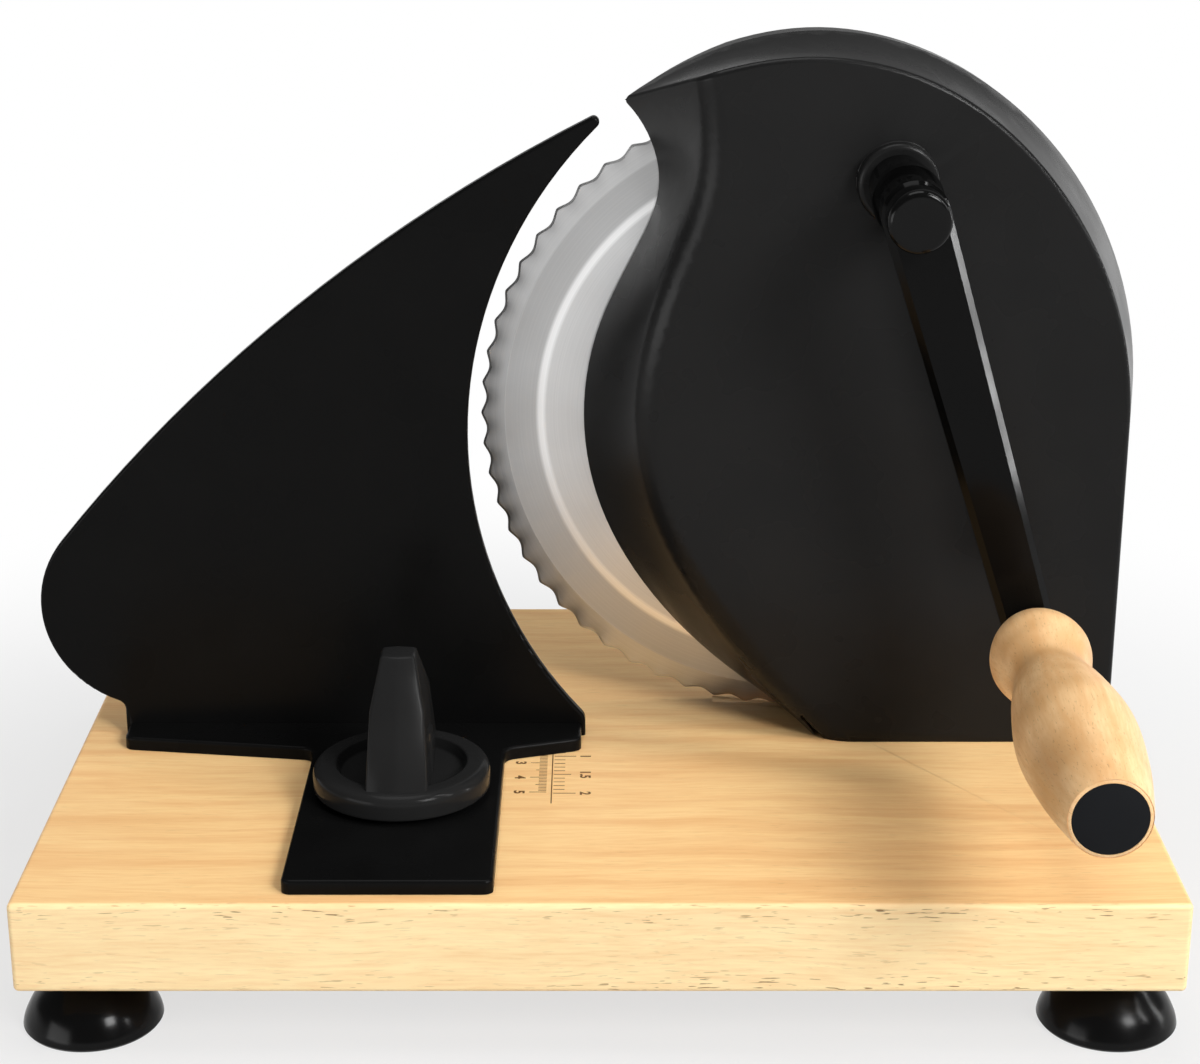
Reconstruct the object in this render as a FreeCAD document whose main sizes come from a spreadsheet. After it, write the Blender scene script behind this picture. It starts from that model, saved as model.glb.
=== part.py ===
import FreeCAD, Part
import Sketcher
import math
import os

from FreeCAD import Placement, Rotation, Vector

# Bread slicer with a hand crank, as a parametric document in millimetres.
#
# Layout frame used below: X to the right from the middle of the board, Y back from the board's
# front edge, Z up from the top of the board. place_on_origin() at the end moves every piece so
# that the whole slicer stands on Z = 0, centred in X and Y.

SIZES = {
    # board and feet
    "board_width": 310.0,
    "board_depth": 215.0,
    "board_thick": 26.0,
    "board_ease": 1.5,              # rounding of the board's edges
    "foot_dia": 38.0,
    "foot_height": 20.0,
    "foot_neck_dia": 19.0,
    "foot_inset_x": 16.0,           # foot axis from the board's side
    "foot_inset_y": 22.0,           # foot axis from the board's front and back
    "foot_screw_dia": 4.0,
    "foot_screw_grip": 16.0,        # how far the screw runs into the board
    # blade and its bearing
    "blade_radius": 95.0,
    "blade_thick": 1.5,
    "blade_plane": 137.0,           # Y of the cutting edge
    "blade_axis_x": 59.4,
    "blade_axis_z": 93.0,
    "blade_teeth": 62,
    "tooth_depth": 1.5,
    "bevel_width": 7.0,
    "bevel_edge": 0.3,              # blade thickness left at the cutting edge
    "step_radius": 77.7,            # stamped step between the disc and its outer ring
    "step_height": 0.4,
    "spigot_dia": 24.0,             # gear spigot that centres the blade
    "blade_screw_circle": 19.0,
    "blade_screw_dia": 4.0,
    "blade_screws": 3,
    "axle_dia": 10.0,
    "bush_wall": 2.0,
    "lock_head_dia": 22.0,
    "lock_head": 2.4,
    "lock_thread": 5.0,
    # gears
    "gear_module": 2.0,
    "pinion_teeth": 26,
    "gear_teeth": 54,
    "gear_width": 6.0,
    "gear_hub_dia": 30.0,
    "gear_backlash": 0.16,
    "crank_offset_x": 23.0,         # crank axis to the right of the blade axis
    # housing
    "face_plane": 103.5,            # Y of the housing's front face
    "throat_plane": 134.0,          # Y of the sheet edge beside the blade
    "rim_depth": 9.0,               # rim behind the throat plane, around the blade
    "rim_taper": 34.0,              # the rim grows to its full depth over this width from the nose
    "wall": 2.5,
    "face_round": 1.6,              # rounding of the front edge
    "ramp_round": 9.0,              # soft roll from the face to the slice ramp
    "axle_boss_dia": 26.0,
    "axle_boss": 14.0,              # boss height inside the front wall
    "crank_boss_dia": 23.0,
    "crank_boss_out": 5.5,          # crank boss in front of the face
    "crank_boss_in": 13.0,
    "rib_thick": 3.0,
    "rib_height": 6.0,
    "pillar_dia": 12.0,
    "pillar_height": 24.0,
    "pillar_left": 76.0,
    "pillar_right": 143.0,
    "pillar_front": 111.5,
    "pillar_back": 126.0,
    "housing_screw_dia": 4.5,
    "housing_screw_grip": 16.0,
    # crank
    "shaft_dia": 10.0,
    "shaft_square": 8.0,
    "shaft_thread": 6.0,
    "arm_length": 125.3,
    "arm_lean": 17.3,               # degrees from straight down, at rest
    "arm_thick": 8.0,
    "arm_front": 58.0,              # Y of the arm's front face
    "arm_hub_radius": 9.0,
    "arm_end_radius": 7.0,
    "arm_bevel": 1.8,
    "hub_dia": 17.0,
    "hub_ring_dia": 19.5,
    "cap_nut_dia": 17.0,
    "cap_nut_height": 9.0,
    "pin_dia": 3.0,
    # grip
    "grip_length": 110.0,
    "grip_collar_dia": 27.5,
    "grip_neck_dia": 21.0,
    "grip_belly_dia": 31.0,
    "grip_end_dia": 20.4,
    "spindle_dia": 8.0,
    "sleeve_dia": 12.0,
    "sleeve_length": 18.0,
    "grip_cap_dia": 18.6,
    "grip_well_dia": 15.4,          # room for the washer and screw under the cap
    "grip_cap_thick": 3.0,
    # stop plate
    "stop_opening": 25.0,           # slice thickness at rest
    "stop_thick": 4.0,
    "stop_round": 1.0,
    "stop_tip_z": 187.4,            # where the two long edges would meet
    "stop_tip_lead": 3.6,           # that point is this far left of the hollow edge's circle
    "stop_tip_radius": 1.6,
    "stop_edge_radius": 486.0,      # the long upper edge
    "stop_end_radius": 32.0,        # the rounded left end
    "stop_toe_radius": 4.0,         # where the hollow edge meets the flange
    "stop_heel_radius": 3.0,        # where the rounded end meets the flange
    "stop_end_x": -133.5,
    "stop_end_z": 41.3,
    "stop_toe_rise": 0.5,           # centre of the toe's round above the flange
    "stop_heel_rise": 4.4,          # centre of the heel's round above the flange
    "throat_radius": 128.5,         # hollow edge of the stop plate
    "throat_gap": 2.7,              # between that edge and the blade's tips
    "flange_left": 14.2,            # depth of the flange at its left end
    "flange_middle": 22.0,          # and where it meets the tab
    "flange_right": 15.0,
    "flange_round": 3.0,
    "tab_blend": 4.0,               # round between the flange and the tab
    "tab_round": 2.5,
    "tab_width": 56.0,
    "tab_centre_x": -56.0,
    "tab_front": 5.5,               # Y of the tab's front edge
    # clamp
    "knob_y": 62.0,
    "knob_dia": 50.0,
    "knob_rim": 7.5,
    "knob_recess": 2.5,
    "knob_height": 40.5,
    "fin_base": 17.0,
    "fin_waist": 15.2,
    "fin_top": 9.4,
    "insert_dia": 13.0,
    "insert_depth": 15.0,
    "bolt_dia": 8.0,
    "slot_width": 12.0,
    "slide_travel": 25.0,           # each way from rest
    "block_length": 22.0,
    "block_height": 13.0,
    "clamp_plate_thick": 3.0,
    "clamp_plate_width": 24.0,
    "clamp_plate_length": 30.0,
    "key_screw_dia": 3.0,
    "under_recess": 10.0,           # recess under the board for the clamp plate and bolt head
    # clearances
    "run_gap": 0.05,                # radial running clearance of a shaft in its bush
    "side_gap": 0.3,                # between parts that turn or slide past each other
    "slip_gap": 0.2,                # round a screw, bolt or block in its hole
}

os.makedirs("parts", exist_ok=True)
doc = FreeCAD.newDocument("bread_slicer")
sheet = doc.addObject("Spreadsheet::Sheet", "Sizes")
for row, (name, value) in enumerate(SIZES.items(), start=1):
    sheet.set("A%d" % row, name)
    sheet.set("B%d" % row, str(value))
    sheet.setAlias("B%d" % row, name)
doc.recompute()

pieces = []      # every exported sub-part


def size(name):
    """The value of one cell of the sheet."""
    return float(getattr(sheet, name))


def count(name):
    """The value of a cell that holds a whole number."""
    return int(round(size(name)))


# ---------------------------------------------------------------- places

def at(x, y, z):
    """A piece whose own axes are the layout axes."""
    return Placement(Vector(x, y, z), Rotation())


def facing(x, y, z, turn=0.0):
    """A piece drawn as seen from the front: its own x is X, its y is Z and its z points at -Y."""
    return Placement(Vector(x, y, z), Rotation(Vector(1, 0, 0), 90) * Rotation(Vector(0, 0, 1), turn))


def hanging(x, y, z):
    """A turned piece whose own z points down."""
    return Placement(Vector(x, y, z), Rotation(Vector(1, 0, 0), 180))


def behind(x, y, z):
    """A turned piece whose own z points back along Y."""
    return Placement(Vector(x, y, z), Rotation(Vector(1, 0, 0), -90))


# ---------------------------------------------------------------- document helpers

def piece(obj, label, place=None):
    """Name and place an object and list it for export."""
    obj.Label = label
    if place is not None:
        obj.Placement = place
    pieces.append(obj)
    return obj


def new_body(label, place):
    return piece(doc.addObject("PartDesign::Body", label), label, place)


def sketch_on(body, role, offset=0.0):
    """An empty sketch on one of the body's own planes, moved along the plane's normal."""
    sketch = body.newObject("Sketcher::SketchObject", "Sketch")
    plane = next(f for f in body.Origin.OriginFeatures if f.Role == role)
    sketch.AttachmentSupport = [(plane, "")]
    sketch.MapMode = "FlatFace"
    sketch.AttachmentOffset = Placement(Vector(0, 0, offset), Rotation())
    return sketch


def vec(point):
    return Vector(point[0], point[1], 0)


def draw(sketch, steps):
    """Draw a closed outline. A step is a point (a line to it), a pair of points (an arc through
    the first to the second) or a longer list (a smooth curve through all of them)."""
    here = steps[0]
    for step in steps[1:] + [steps[0]]:
        if isinstance(step[0], (int, float)):
            if (vec(step) - vec(here)).Length > 1e-6:
                sketch.addGeometry(Part.LineSegment(vec(here), vec(step)), False)
            here = step
        elif len(step) == 2:
            sketch.addGeometry(Part.Arc(vec(here), vec(step[0]), vec(step[1])), False)
            here = step[-1]
        else:
            curve = Part.BSplineCurve()
            curve.interpolate([vec(here)] + [vec(p) for p in step])
            sketch.addGeometry(curve, False)
            here = step[-1]
    return sketch


def draw_circle(sketch, x, y, diameter):
    """A circle whose diameter is an expression of the sheet."""
    index = sketch.addGeometry(Part.Circle(Vector(x, y, 0), Vector(0, 0, 1), 5.0), False)
    constraint = sketch.addConstraint(Sketcher.Constraint("Diameter", index, 10.0))
    sketch.setExpression("Constraints[%d]" % constraint, diameter)
    return sketch


def feature(body, kind, sketch, **settings):
    """A PartDesign feature on a sketch. A setting that is text becomes an expression."""
    item = body.newObject("PartDesign::" + kind, kind)
    item.Profile = sketch
    for name, value in settings.items():
        if isinstance(value, str):
            item.setExpression(name, value)
        else:
            setattr(item, name, value)
    sketch.Visibility = False
    doc.recompute()
    return item


def pad(body, sketch, length, down=False):
    return feature(body, "Pad", sketch, Length=length, Reversed=down)


def pocket(body, sketch, length, up=False):
    """Cut a pocket. It goes against the sketch's normal, or along it when up is set."""
    return feature(body, "Pocket", sketch, Length=length, Reversed=up)


def revolve(body, sketch, kind="Revolution"):
    item = body.newObject("PartDesign::" + kind, kind)
    item.Profile = sketch
    item.ReferenceAxis = (sketch, ["V_Axis"])
    item.Angle = 360.0
    sketch.Visibility = False
    doc.recompute()
    return item


def turned(label, steps, place):
    """A turned piece: its half section, drawn as (radius, height), goes round its own z."""
    body = new_body(label, place)
    revolve(body, draw(sketch_on(body, "XZ_Plane"), steps))
    return body


def ring(label, inner, outer, height, place):
    """A plain washer, bush or sleeve."""
    return turned(label, [(inner, 0), (outer, 0), (outer, height), (inner, height)], place)


def screw(label, shank, length, head, head_height, place, countersunk=False):
    """A screw standing on its own z: the shank runs down from 0, the head lies above it."""
    if countersunk:
        steps = [(0, -length), (shank / 2, -length), (shank / 2, -head_height), (head / 2, 0), (0, 0)]
    else:
        rise = head_height * 0.35
        steps = [(0, -length), (shank / 2, -length), (shank / 2, 0), (head / 2, 0),
                 (head / 2, head_height - rise), ((head * 0.43, head_height - rise * 0.25),
                                                  (head * 0.32, head_height)), (0, head_height)]
    body = turned(label, steps, place)
    cross_slot(body, head, 0.0 if countersunk else head_height)
    return body


def cross_slot(body, head, top):
    """A cross recess in the top of a screw head."""
    arm, blade = head * 0.26, head * 0.055
    steps = [(-blade, -arm), (blade, -arm), (blade, -blade), (arm, -blade), (arm, blade),
             (blade, blade), (blade, arm), (-blade, arm), (-blade, blade), (-arm, blade),
             (-arm, -blade), (-blade, -blade)]
    item = body.newObject("PartDesign::Pocket", "Recess")
    item.Profile = draw(sketch_on(body, "XY_Plane", top), steps)
    item.Length = head * 0.12
    doc.recompute()


def group(label, members):
    """Identical pieces that share one node as separate solids."""
    for member in members:
        pieces.remove(member)
    joined = doc.addObject("Part::Compound", label)
    joined.Links = members
    doc.recompute()
    return piece(joined, label)


def round_edges(body, chosen, radius, kind="Fillet"):
    """Round or chamfer the edges of the body's last feature that chosen() picks."""
    base = body.Tip
    names = ["Edge%d" % (i + 1) for i, edge in enumerate(base.Shape.Edges) if chosen(edge)]
    item = body.newObject("PartDesign::" + kind, kind)
    item.Base = (base, names)
    item.setExpression("Radius" if kind == "Fillet" else "Size", radius)
    doc.recompute()
    return item


def edge_at(edge, axis, level, tolerance=0.01):
    """Whether the whole edge lies at one level of the axis (0, 1 or 2)."""
    box = edge.BoundBox
    low, high = [(box.XMin, box.XMax), (box.YMin, box.YMax), (box.ZMin, box.ZMax)][axis]
    return abs(low - level) < tolerance and abs(high - level) < tolerance


# ---------------------------------------------------------------- worked-out places

HALF_WIDTH = size("board_width") / 2
AXIS_X, AXIS_Z = size("blade_axis_x"), size("blade_axis_z")
CENTRE_DISTANCE = size("gear_module") * (count("pinion_teeth") + count("gear_teeth")) / 2
CRANK_X = AXIS_X + size("crank_offset_x")
CRANK_Z = AXIS_Z + math.sqrt(CENTRE_DISTANCE ** 2 - size("crank_offset_x") ** 2)
MESH_ANGLE = math.degrees(math.atan2(CRANK_Z - AXIS_Z, CRANK_X - AXIS_X))
LEAN = math.radians(size("arm_lean"))
GRIP_X = CRANK_X + size("arm_length") * math.sin(LEAN)
GRIP_Z = CRANK_Z - size("arm_length") * math.cos(LEAN)

BLADE_FRONT = size("blade_plane") - size("blade_thick")
GEAR_FRONT = BLADE_FRONT - size("gear_width")
HUB_FRONT = size("face_plane") + size("wall") + size("axle_boss") + 1.0 + size("side_gap")
ARM_BACK = size("arm_front") + size("arm_thick")
BOSS_FRONT = size("face_plane") - size("crank_boss_out")
BOSS_BACK = size("face_plane") + size("wall") + size("crank_boss_in")
STOP_BACK = size("blade_plane") - size("stop_opening")
STOP_FRONT = STOP_BACK - size("stop_thick")
GRIP_BACK = size("arm_front") - size("side_gap")
GRIP_FRONT = GRIP_BACK - size("grip_length")

FOOT_PLACES = {
    "front_left": (-HALF_WIDTH + size("foot_inset_x"), size("foot_inset_y")),
    "front_right": (HALF_WIDTH - size("foot_inset_x"), size("foot_inset_y")),
    "back_left": (-HALF_WIDTH + size("foot_inset_x"), size("board_depth") - size("foot_inset_y")),
    "back_right": (HALF_WIDTH - size("foot_inset_x"), size("board_depth") - size("foot_inset_y")),
}
PILLARS = [(x, y) for x in (size("pillar_left"), size("pillar_right"))
           for y in (size("pillar_front"), size("pillar_back"))]


# ---------------------------------------------------------------- board and feet

def make_board():
    """Wooden board with the blade slot, the clamp slot and the screw holes."""
    top, depth = size("board_thick"), size("board_depth")
    board = new_body("base_board", at(0, 0, -top))
    outline = [(-HALF_WIDTH, 0), (HALF_WIDTH, 0), (HALF_WIDTH, depth), (-HALF_WIDTH, depth)]
    pad(board, draw(sketch_on(board, "XY_Plane"), outline), "Sizes.board_thick")
    round_edges(board, lambda edge: True, "Sizes.board_ease")

    # the blade dips a little below the top of the board
    dip = size("blade_radius") - AXIS_Z
    reach = math.sqrt(max(size("blade_radius") ** 2 - AXIS_Z ** 2, 1.0)) + 5.0
    front, back = BLADE_FRONT - 1.75, size("blade_plane") + 1.75
    slot = draw(sketch_on(board, "XY_Plane", top),
                [(AXIS_X - reach, front), (AXIS_X + reach, front),
                 (AXIS_X + reach, back), (AXIS_X - reach, back)])
    pocket(board, slot, max(dip, 0.0) + 3.0)

    # slot for the guide block, and the recess for the clamp plate under it
    clamp_x, clamp_y = size("tab_centre_x"), size("knob_y")
    half = size("slot_width") / 2
    run = size("slide_travel") + size("block_length") / 2 + size("side_gap")
    draw_slot = [(clamp_x - half, clamp_y - run), (clamp_x + half, clamp_y - run),
                 (clamp_x + half, clamp_y + run), (clamp_x - half, clamp_y + run)]
    pocket(board, draw(sketch_on(board, "XY_Plane", top), draw_slot), "Sizes.board_thick")
    half = size("clamp_plate_width") / 2 + size("side_gap")
    run = size("slide_travel") + size("clamp_plate_length") / 2 + 1.0
    recess = [(clamp_x - half, clamp_y - run), (clamp_x + half, clamp_y - run),
              (clamp_x + half, clamp_y + run), (clamp_x - half, clamp_y + run)]
    pocket(board, draw(sketch_on(board, "XY_Plane"), recess), "Sizes.under_recess", up=True)

    # holes for the housing screws, counterbored from below, and for the foot screws
    holes, sinks = sketch_on(board, "XY_Plane", top), sketch_on(board, "XY_Plane")
    for x, y in PILLARS:
        draw_circle(holes, x, y, "Sizes.housing_screw_dia + 2 * Sizes.slip_gap")
        draw_circle(sinks, x, y, "Sizes.housing_screw_dia * 2 + 1.5")
    pocket(board, holes, "Sizes.board_thick")
    pocket(board, sinks, "Sizes.housing_screw_dia", up=True)
    pilots = sketch_on(board, "XY_Plane")
    for x, y in FOOT_PLACES.values():
        draw_circle(pilots, x, y, "Sizes.foot_screw_dia")
    pocket(board, pilots, "Sizes.foot_screw_grip + 1", up=True)
    return board


def make_feet():
    """Four rubber suction cups, each on a washer and a screw driven up into the board."""
    rim, neck, tall = size("foot_dia") / 2, size("foot_neck_dia") / 2, size("foot_height")
    hole = size("foot_screw_dia") / 2 + size("slip_gap")
    seat = tall * 0.5                    # the washer bears on the rubber at this height
    well = hole + 4.2
    bottom = -size("board_thick") - tall
    cup = [(rim, 0), (rim, 0.9), [(rim - 0.9, 3.6), (rim - 3.6, 8.2), (neck + 2.6, 12.4), (neck, 14.6)],
           (neck, tall), (hole, tall), (hole, seat), (well, seat), (well, seat - 3.4),
           [(well + 2.2, seat - 5.2), (rim - 4.6, 3.2), (rim - 1.6, 0)]]
    screws, washers = [], []
    for name, (x, y) in FOOT_PLACES.items():
        turned("foot_" + name, cup, at(x, y, bottom))
        washers.append(ring("foot_washer", hole, well - 0.3, 1.0, at(x, y, bottom + seat - 1.0)))
        screws.append(screw("foot_screw", size("foot_screw_dia"),
                            tall - seat + 1.0 + size("foot_screw_grip"), 7.6, 2.4,
                            hanging(x, y, bottom + seat - 1.0)))
    group("foot_washers", washers)
    group("foot_screws", screws)


# ---------------------------------------------------------------- housing

# Half-open outlines in the layout's X and Z, from the left foot round to the right shoulder.
# THROAT_* runs up the S-shaped edge beside the blade to the nose, SHOULDER_* over the top.
THROAT_BACK = [(56.0, 0.0), (16.0, 36.0), (-1.0, 68.0), (-4.8, 95.0), (0.0, 121.2), (11.7, 146.0),
               (17.1, 163.0), (15.0, 174.5), (6.6, 187.2)]
THROAT_FACE = [(66.0, 0.0), (31.0, 44.0), (15.6, 76.0), (11.8, 101.0), (15.5, 128.0), (23.4, 153.0),
               (28.8, 171.0), (29.8, 185.0), (28.6, 198.9)]
SHOULDER_BACK = [(33.0, 201.4), (61.5, 206.8), (98.5, 198.4), (132.5, 172.0), (154.0, 131.5),
                 (158.5, 100.0)]
SHOULDER_FACE = [(44.0, 202.6), (62.0, 203.7), (94.5, 195.5), (126.5, 169.0), (147.3, 129.5),
                 (151.8, 98.0)]


RIM_STEP = 0.35            # the rim is this much thinner than the wall on each side


def between(back, face, share):
    """Outline points part of the way from the back outline to the face outline."""
    return [(b[0] + (f[0] - b[0]) * share, b[1] + (f[1] - b[1]) * share) for b, f in zip(back, face)]


def inset(points, distance):
    """Move every corner of a closed outline inward, to the right of its direction of travel."""
    moved = []
    for i, here in enumerate(points):
        before, after = vec(points[i - 1]), vec(points[(i + 1) % len(points)])
        to, on = (vec(here) - before).normalize(), (after - vec(here)).normalize()
        normal = Vector(to.y + on.y, -to.x - on.x, 0).normalize()
        grow = distance / max(normal.dot(Vector(to.y, -to.x, 0)), 0.3)
        moved.append((here[0] + normal.x * grow, here[1] + normal.y * grow))
    return moved


def housing_outline(share, wall=0.0):
    """The closed outline part of the way from the back to the face, as steps for draw()."""
    throat = between(THROAT_BACK, THROAT_FACE, share)
    shoulder = between(SHOULDER_BACK, SHOULDER_FACE, share)
    points = throat + shoulder + [(shoulder[-1][0], 0.0)]
    if wall:
        points = inset(points, wall)
        below = -1.0
        points[0], points[-1] = (points[0][0], below), (points[-1][0], below)
    nose = len(throat) - 1
    return [points[0], points[-1], points[-2], points[-3:nose - 1:-1], points[nose - 1::-1]]


def make_housing():
    """Cast cover over the gears: S-shaped slice ramp, rim round the blade, bosses and ribs."""
    deep = size("throat_plane") - size("face_plane")
    wall = size("wall")
    cover = new_body("housing_cover", facing(0, size("throat_plane"), 0))

    def loft(kind, low, high, thickness):
        """Loft the outline from one level to the other. The face comes first: the other order
        gives an inside-out solid."""
        face, back = [draw(sketch_on(cover, "XY_Plane", level), housing_outline(level / deep, thickness))
                      for level in (high, low)]
        return feature(cover, kind, face, Sections=[back], Ruled=True)

    between_feet = (THROAT_FACE[0][0] + SHOULDER_FACE[-1][0]) / 2

    def upright(edge):
        return edge_at(edge, 2, deep) and edge.BoundBox.YLength > AXIS_Z / 2

    def on_throat(edge):
        return upright(edge) and edge.BoundBox.XMax < between_feet

    def on_shoulder(edge):
        return upright(edge) and edge.BoundBox.XMax > between_feet

    loft("AdditiveLoft", 0.0, deep, 0.0)
    round_edges(cover, on_throat, "Sizes.ramp_round")
    round_edges(cover, on_shoulder, "Sizes.face_round")
    loft("SubtractiveLoft", -1.0, deep - wall, wall * 1.12)

    # rim behind the throat plane: a band from the nose to the right foot, set a little into the
    # wall on both sides so that it has a fine step where it leaves the shell
    whole = THROAT_BACK + SHOULDER_BACK + [(SHOULDER_BACK[-1][0], 0.0)]
    nose = len(THROAT_BACK) - 1
    outer, inner = [inset(whole, depth)[nose:] for depth in (RIM_STEP, wall * 1.12 - RIM_STEP)]
    for line in (outer, inner):
        line[-1] = (line[-1][0], 0.0)
    band = [outer[0], outer[1:-1], outer[-1], inner[-1], inner[-2], inner[-3::-1]]
    pad(cover, draw(sketch_on(cover, "XY_Plane"), band), "Sizes.rim_depth", down=True)
    start, deepest = THROAT_BACK[-1][0] - 1.0, -size("rim_depth") - 1.0
    wedge = [(start, 0), (start, deepest), (start + size("rim_taper"), deepest)]
    pocket(cover, draw(sketch_on(cover, "XZ_Plane"), wedge), SHOULDER_BACK[1][1] + 5.0)

    # bosses: blade axle inside, crank bush on both sides of the face
    inside = deep - wall
    boss = draw_circle(sketch_on(cover, "XY_Plane", inside - size("axle_boss")), AXIS_X, AXIS_Z,
                       "Sizes.axle_boss_dia")
    pad(cover, boss, "Sizes.axle_boss + Sizes.wall / 2")
    boss = draw_circle(sketch_on(cover, "XY_Plane", inside - size("crank_boss_in")), CRANK_X, CRANK_Z,
                       "Sizes.crank_boss_dia")
    pad(cover, boss, "Sizes.crank_boss_in + Sizes.wall + Sizes.crank_boss_out")
    round_edges(cover, lambda e: edge_at(e, 2, deep + size("crank_boss_out")), "Sizes.face_round")

    # ribs on the inside of the face, crossing at the axle boss and ending in the walls
    half = size("rib_thick") / 2
    floor = inside - size("rib_height")
    left, right = THROAT_FACE[3][0] + size("ramp_round"), SHOULDER_FACE[-1][0] - wall
    low, high = size("pillar_height"), SHOULDER_FACE[1][1] - wall
    for x0, x1, z0, z1 in ((left, right, AXIS_Z - half, AXIS_Z + half),
                           (AXIS_X - half, AXIS_X + half, low, high)):
        rib = draw(sketch_on(cover, "XY_Plane", floor), [(x0, z0), (x1, z0), (x1, z1), (x0, z1)])
        pad(cover, rib, "Sizes.rib_height + Sizes.wall / 2")

    # screw pillars, each pair on a web that joins the front wall
    tall, radius = size("pillar_height"), size("pillar_dia") / 2
    throat = size("throat_plane")
    for x in (size("pillar_left"), size("pillar_right")):
        front, back = throat - size("pillar_front"), throat - size("pillar_back")
        web = [(x - half, 0), (x + half, 0), (x + half, tall), (x - half, tall)]
        rise = deep - wall / 2 - back
        pad(cover, draw(sketch_on(cover, "XY_Plane", back), web), rise)
        for level in (front, back):
            ring_sketch = sketch_on(cover, "XZ_Plane")
            draw_circle(ring_sketch, x, level, "Sizes.pillar_dia")
            pad(cover, ring_sketch, "Sizes.pillar_height", down=True)
    holes = sketch_on(cover, "XZ_Plane")
    for x, y in PILLARS:
        draw_circle(holes, x, throat - y, "Sizes.housing_screw_dia")
    pocket(cover, holes, "Sizes.housing_screw_grip + 1")

    # bores: blind for the axle, through for the crank bush
    bore = draw_circle(sketch_on(cover, "XY_Plane", inside - size("axle_boss")), AXIS_X, AXIS_Z,
                       "Sizes.axle_dia")
    pocket(cover, bore, "Sizes.axle_boss", up=True)
    bore = draw_circle(sketch_on(cover, "XY_Plane", inside - size("crank_boss_in")), CRANK_X, CRANK_Z,
                       "Sizes.shaft_dia + 2 * Sizes.bush_wall")
    pocket(cover, bore, "Sizes.crank_boss_in + Sizes.wall + Sizes.crank_boss_out", up=True)
    return cover


def make_housing_screws():
    """Four screws from below through the board into the housing's pillars."""
    dia = size("housing_screw_dia")
    reach = size("board_thick") - dia + size("housing_screw_grip")
    group("housing_screws", [
        screw("housing_screw", dia, reach, dia * 2, dia * 0.6,
              hanging(x, y, -size("board_thick") + dia)) for x, y in PILLARS])


# ---------------------------------------------------------------- gears

def gear_outline(teeth, phase):
    """Wire of an involute spur gear with one tooth centred at the phase angle (degrees)."""
    module, pressure = size("gear_module"), math.radians(20)
    pitch = module * teeth / 2
    base, tip, root = pitch * math.cos(pressure), pitch + module, pitch - 1.25 * module
    half = (math.pi * pitch / teeth - size("gear_backlash")) / 2 / pitch + math.tan(pressure) - pressure
    start = max(base, root)
    edges = []

    def spot(radius, angle):
        return Vector(radius * math.cos(angle), radius * math.sin(angle), 0)

    def flank_angle(radius):
        roll = math.acos(min(base / radius, 1.0))
        return half - (math.tan(roll) - roll)

    radii = [start + (tip - start) * i / 4 for i in range(5)]
    for tooth in range(teeth):
        middle = math.radians(phase) + 2 * math.pi * tooth / teeth
        following = middle + 2 * math.pi / teeth
        rising = [spot(r, middle - flank_angle(r)) for r in radii]
        falling = [spot(r, middle + flank_angle(r)) for r in reversed(radii)]
        foot, next_foot = middle + flank_angle(start), following - flank_angle(start)
        for points in (rising, falling):
            curve = Part.BSplineCurve()
            curve.interpolate(points)
            edges.append(curve.toShape())
        edges.append(Part.Arc(rising[-1], spot(tip, middle), falling[0]).toShape())
        bottom = [spot(root, foot), spot(root, (foot + next_foot) / 2), spot(root, next_foot)]
        edges.append(Part.Arc(*bottom).toShape())
        if start > root + 1e-6:
            edges.append(Part.makeLine(falling[-1], bottom[0]))
            edges.append(Part.makeLine(bottom[2], spot(start, next_foot)))
    return Part.Wire(Part.__sortEdges__(edges))


def gear_blank(name, teeth, phase):
    """The toothed disc of a gear as an extruded outline."""
    outline = doc.addObject("Part::Feature", name + "_outline")
    outline.Shape = gear_outline(teeth, phase)
    disc = doc.addObject("Part::Extrusion", name + "_disc")
    disc.Base = outline
    disc.Dir = Vector(0, 0, 1)
    disc.setExpression("LengthFwd", "Sizes.gear_width")
    disc.Solid = True
    doc.recompute()
    return disc


def cylinder(name, radius, height, base=0.0, place=None):
    """A Part::Cylinder. A size that is text becomes an expression."""
    item = doc.addObject("Part::Cylinder", name)
    for prop, value in (("Radius", radius), ("Height", height)):
        if isinstance(value, str):
            item.setExpression(prop, value)
        else:
            setattr(item, prop, value)
    item.Placement = place or at(0, 0, base)
    doc.recompute()
    return item


def fused(name, shapes):
    item = doc.addObject("Part::MultiFuse", name)
    item.Shapes = shapes
    item.Refine = True
    doc.recompute()
    return item


def cut(name, base, tools):
    """Base less every tool."""
    for i, tool in enumerate(tools):
        item = doc.addObject("Part::Cut", "%s_cut%d" % (name, i))
        item.Base, item.Tool = base, tool
        base = item
    doc.recompute()
    return base


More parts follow.
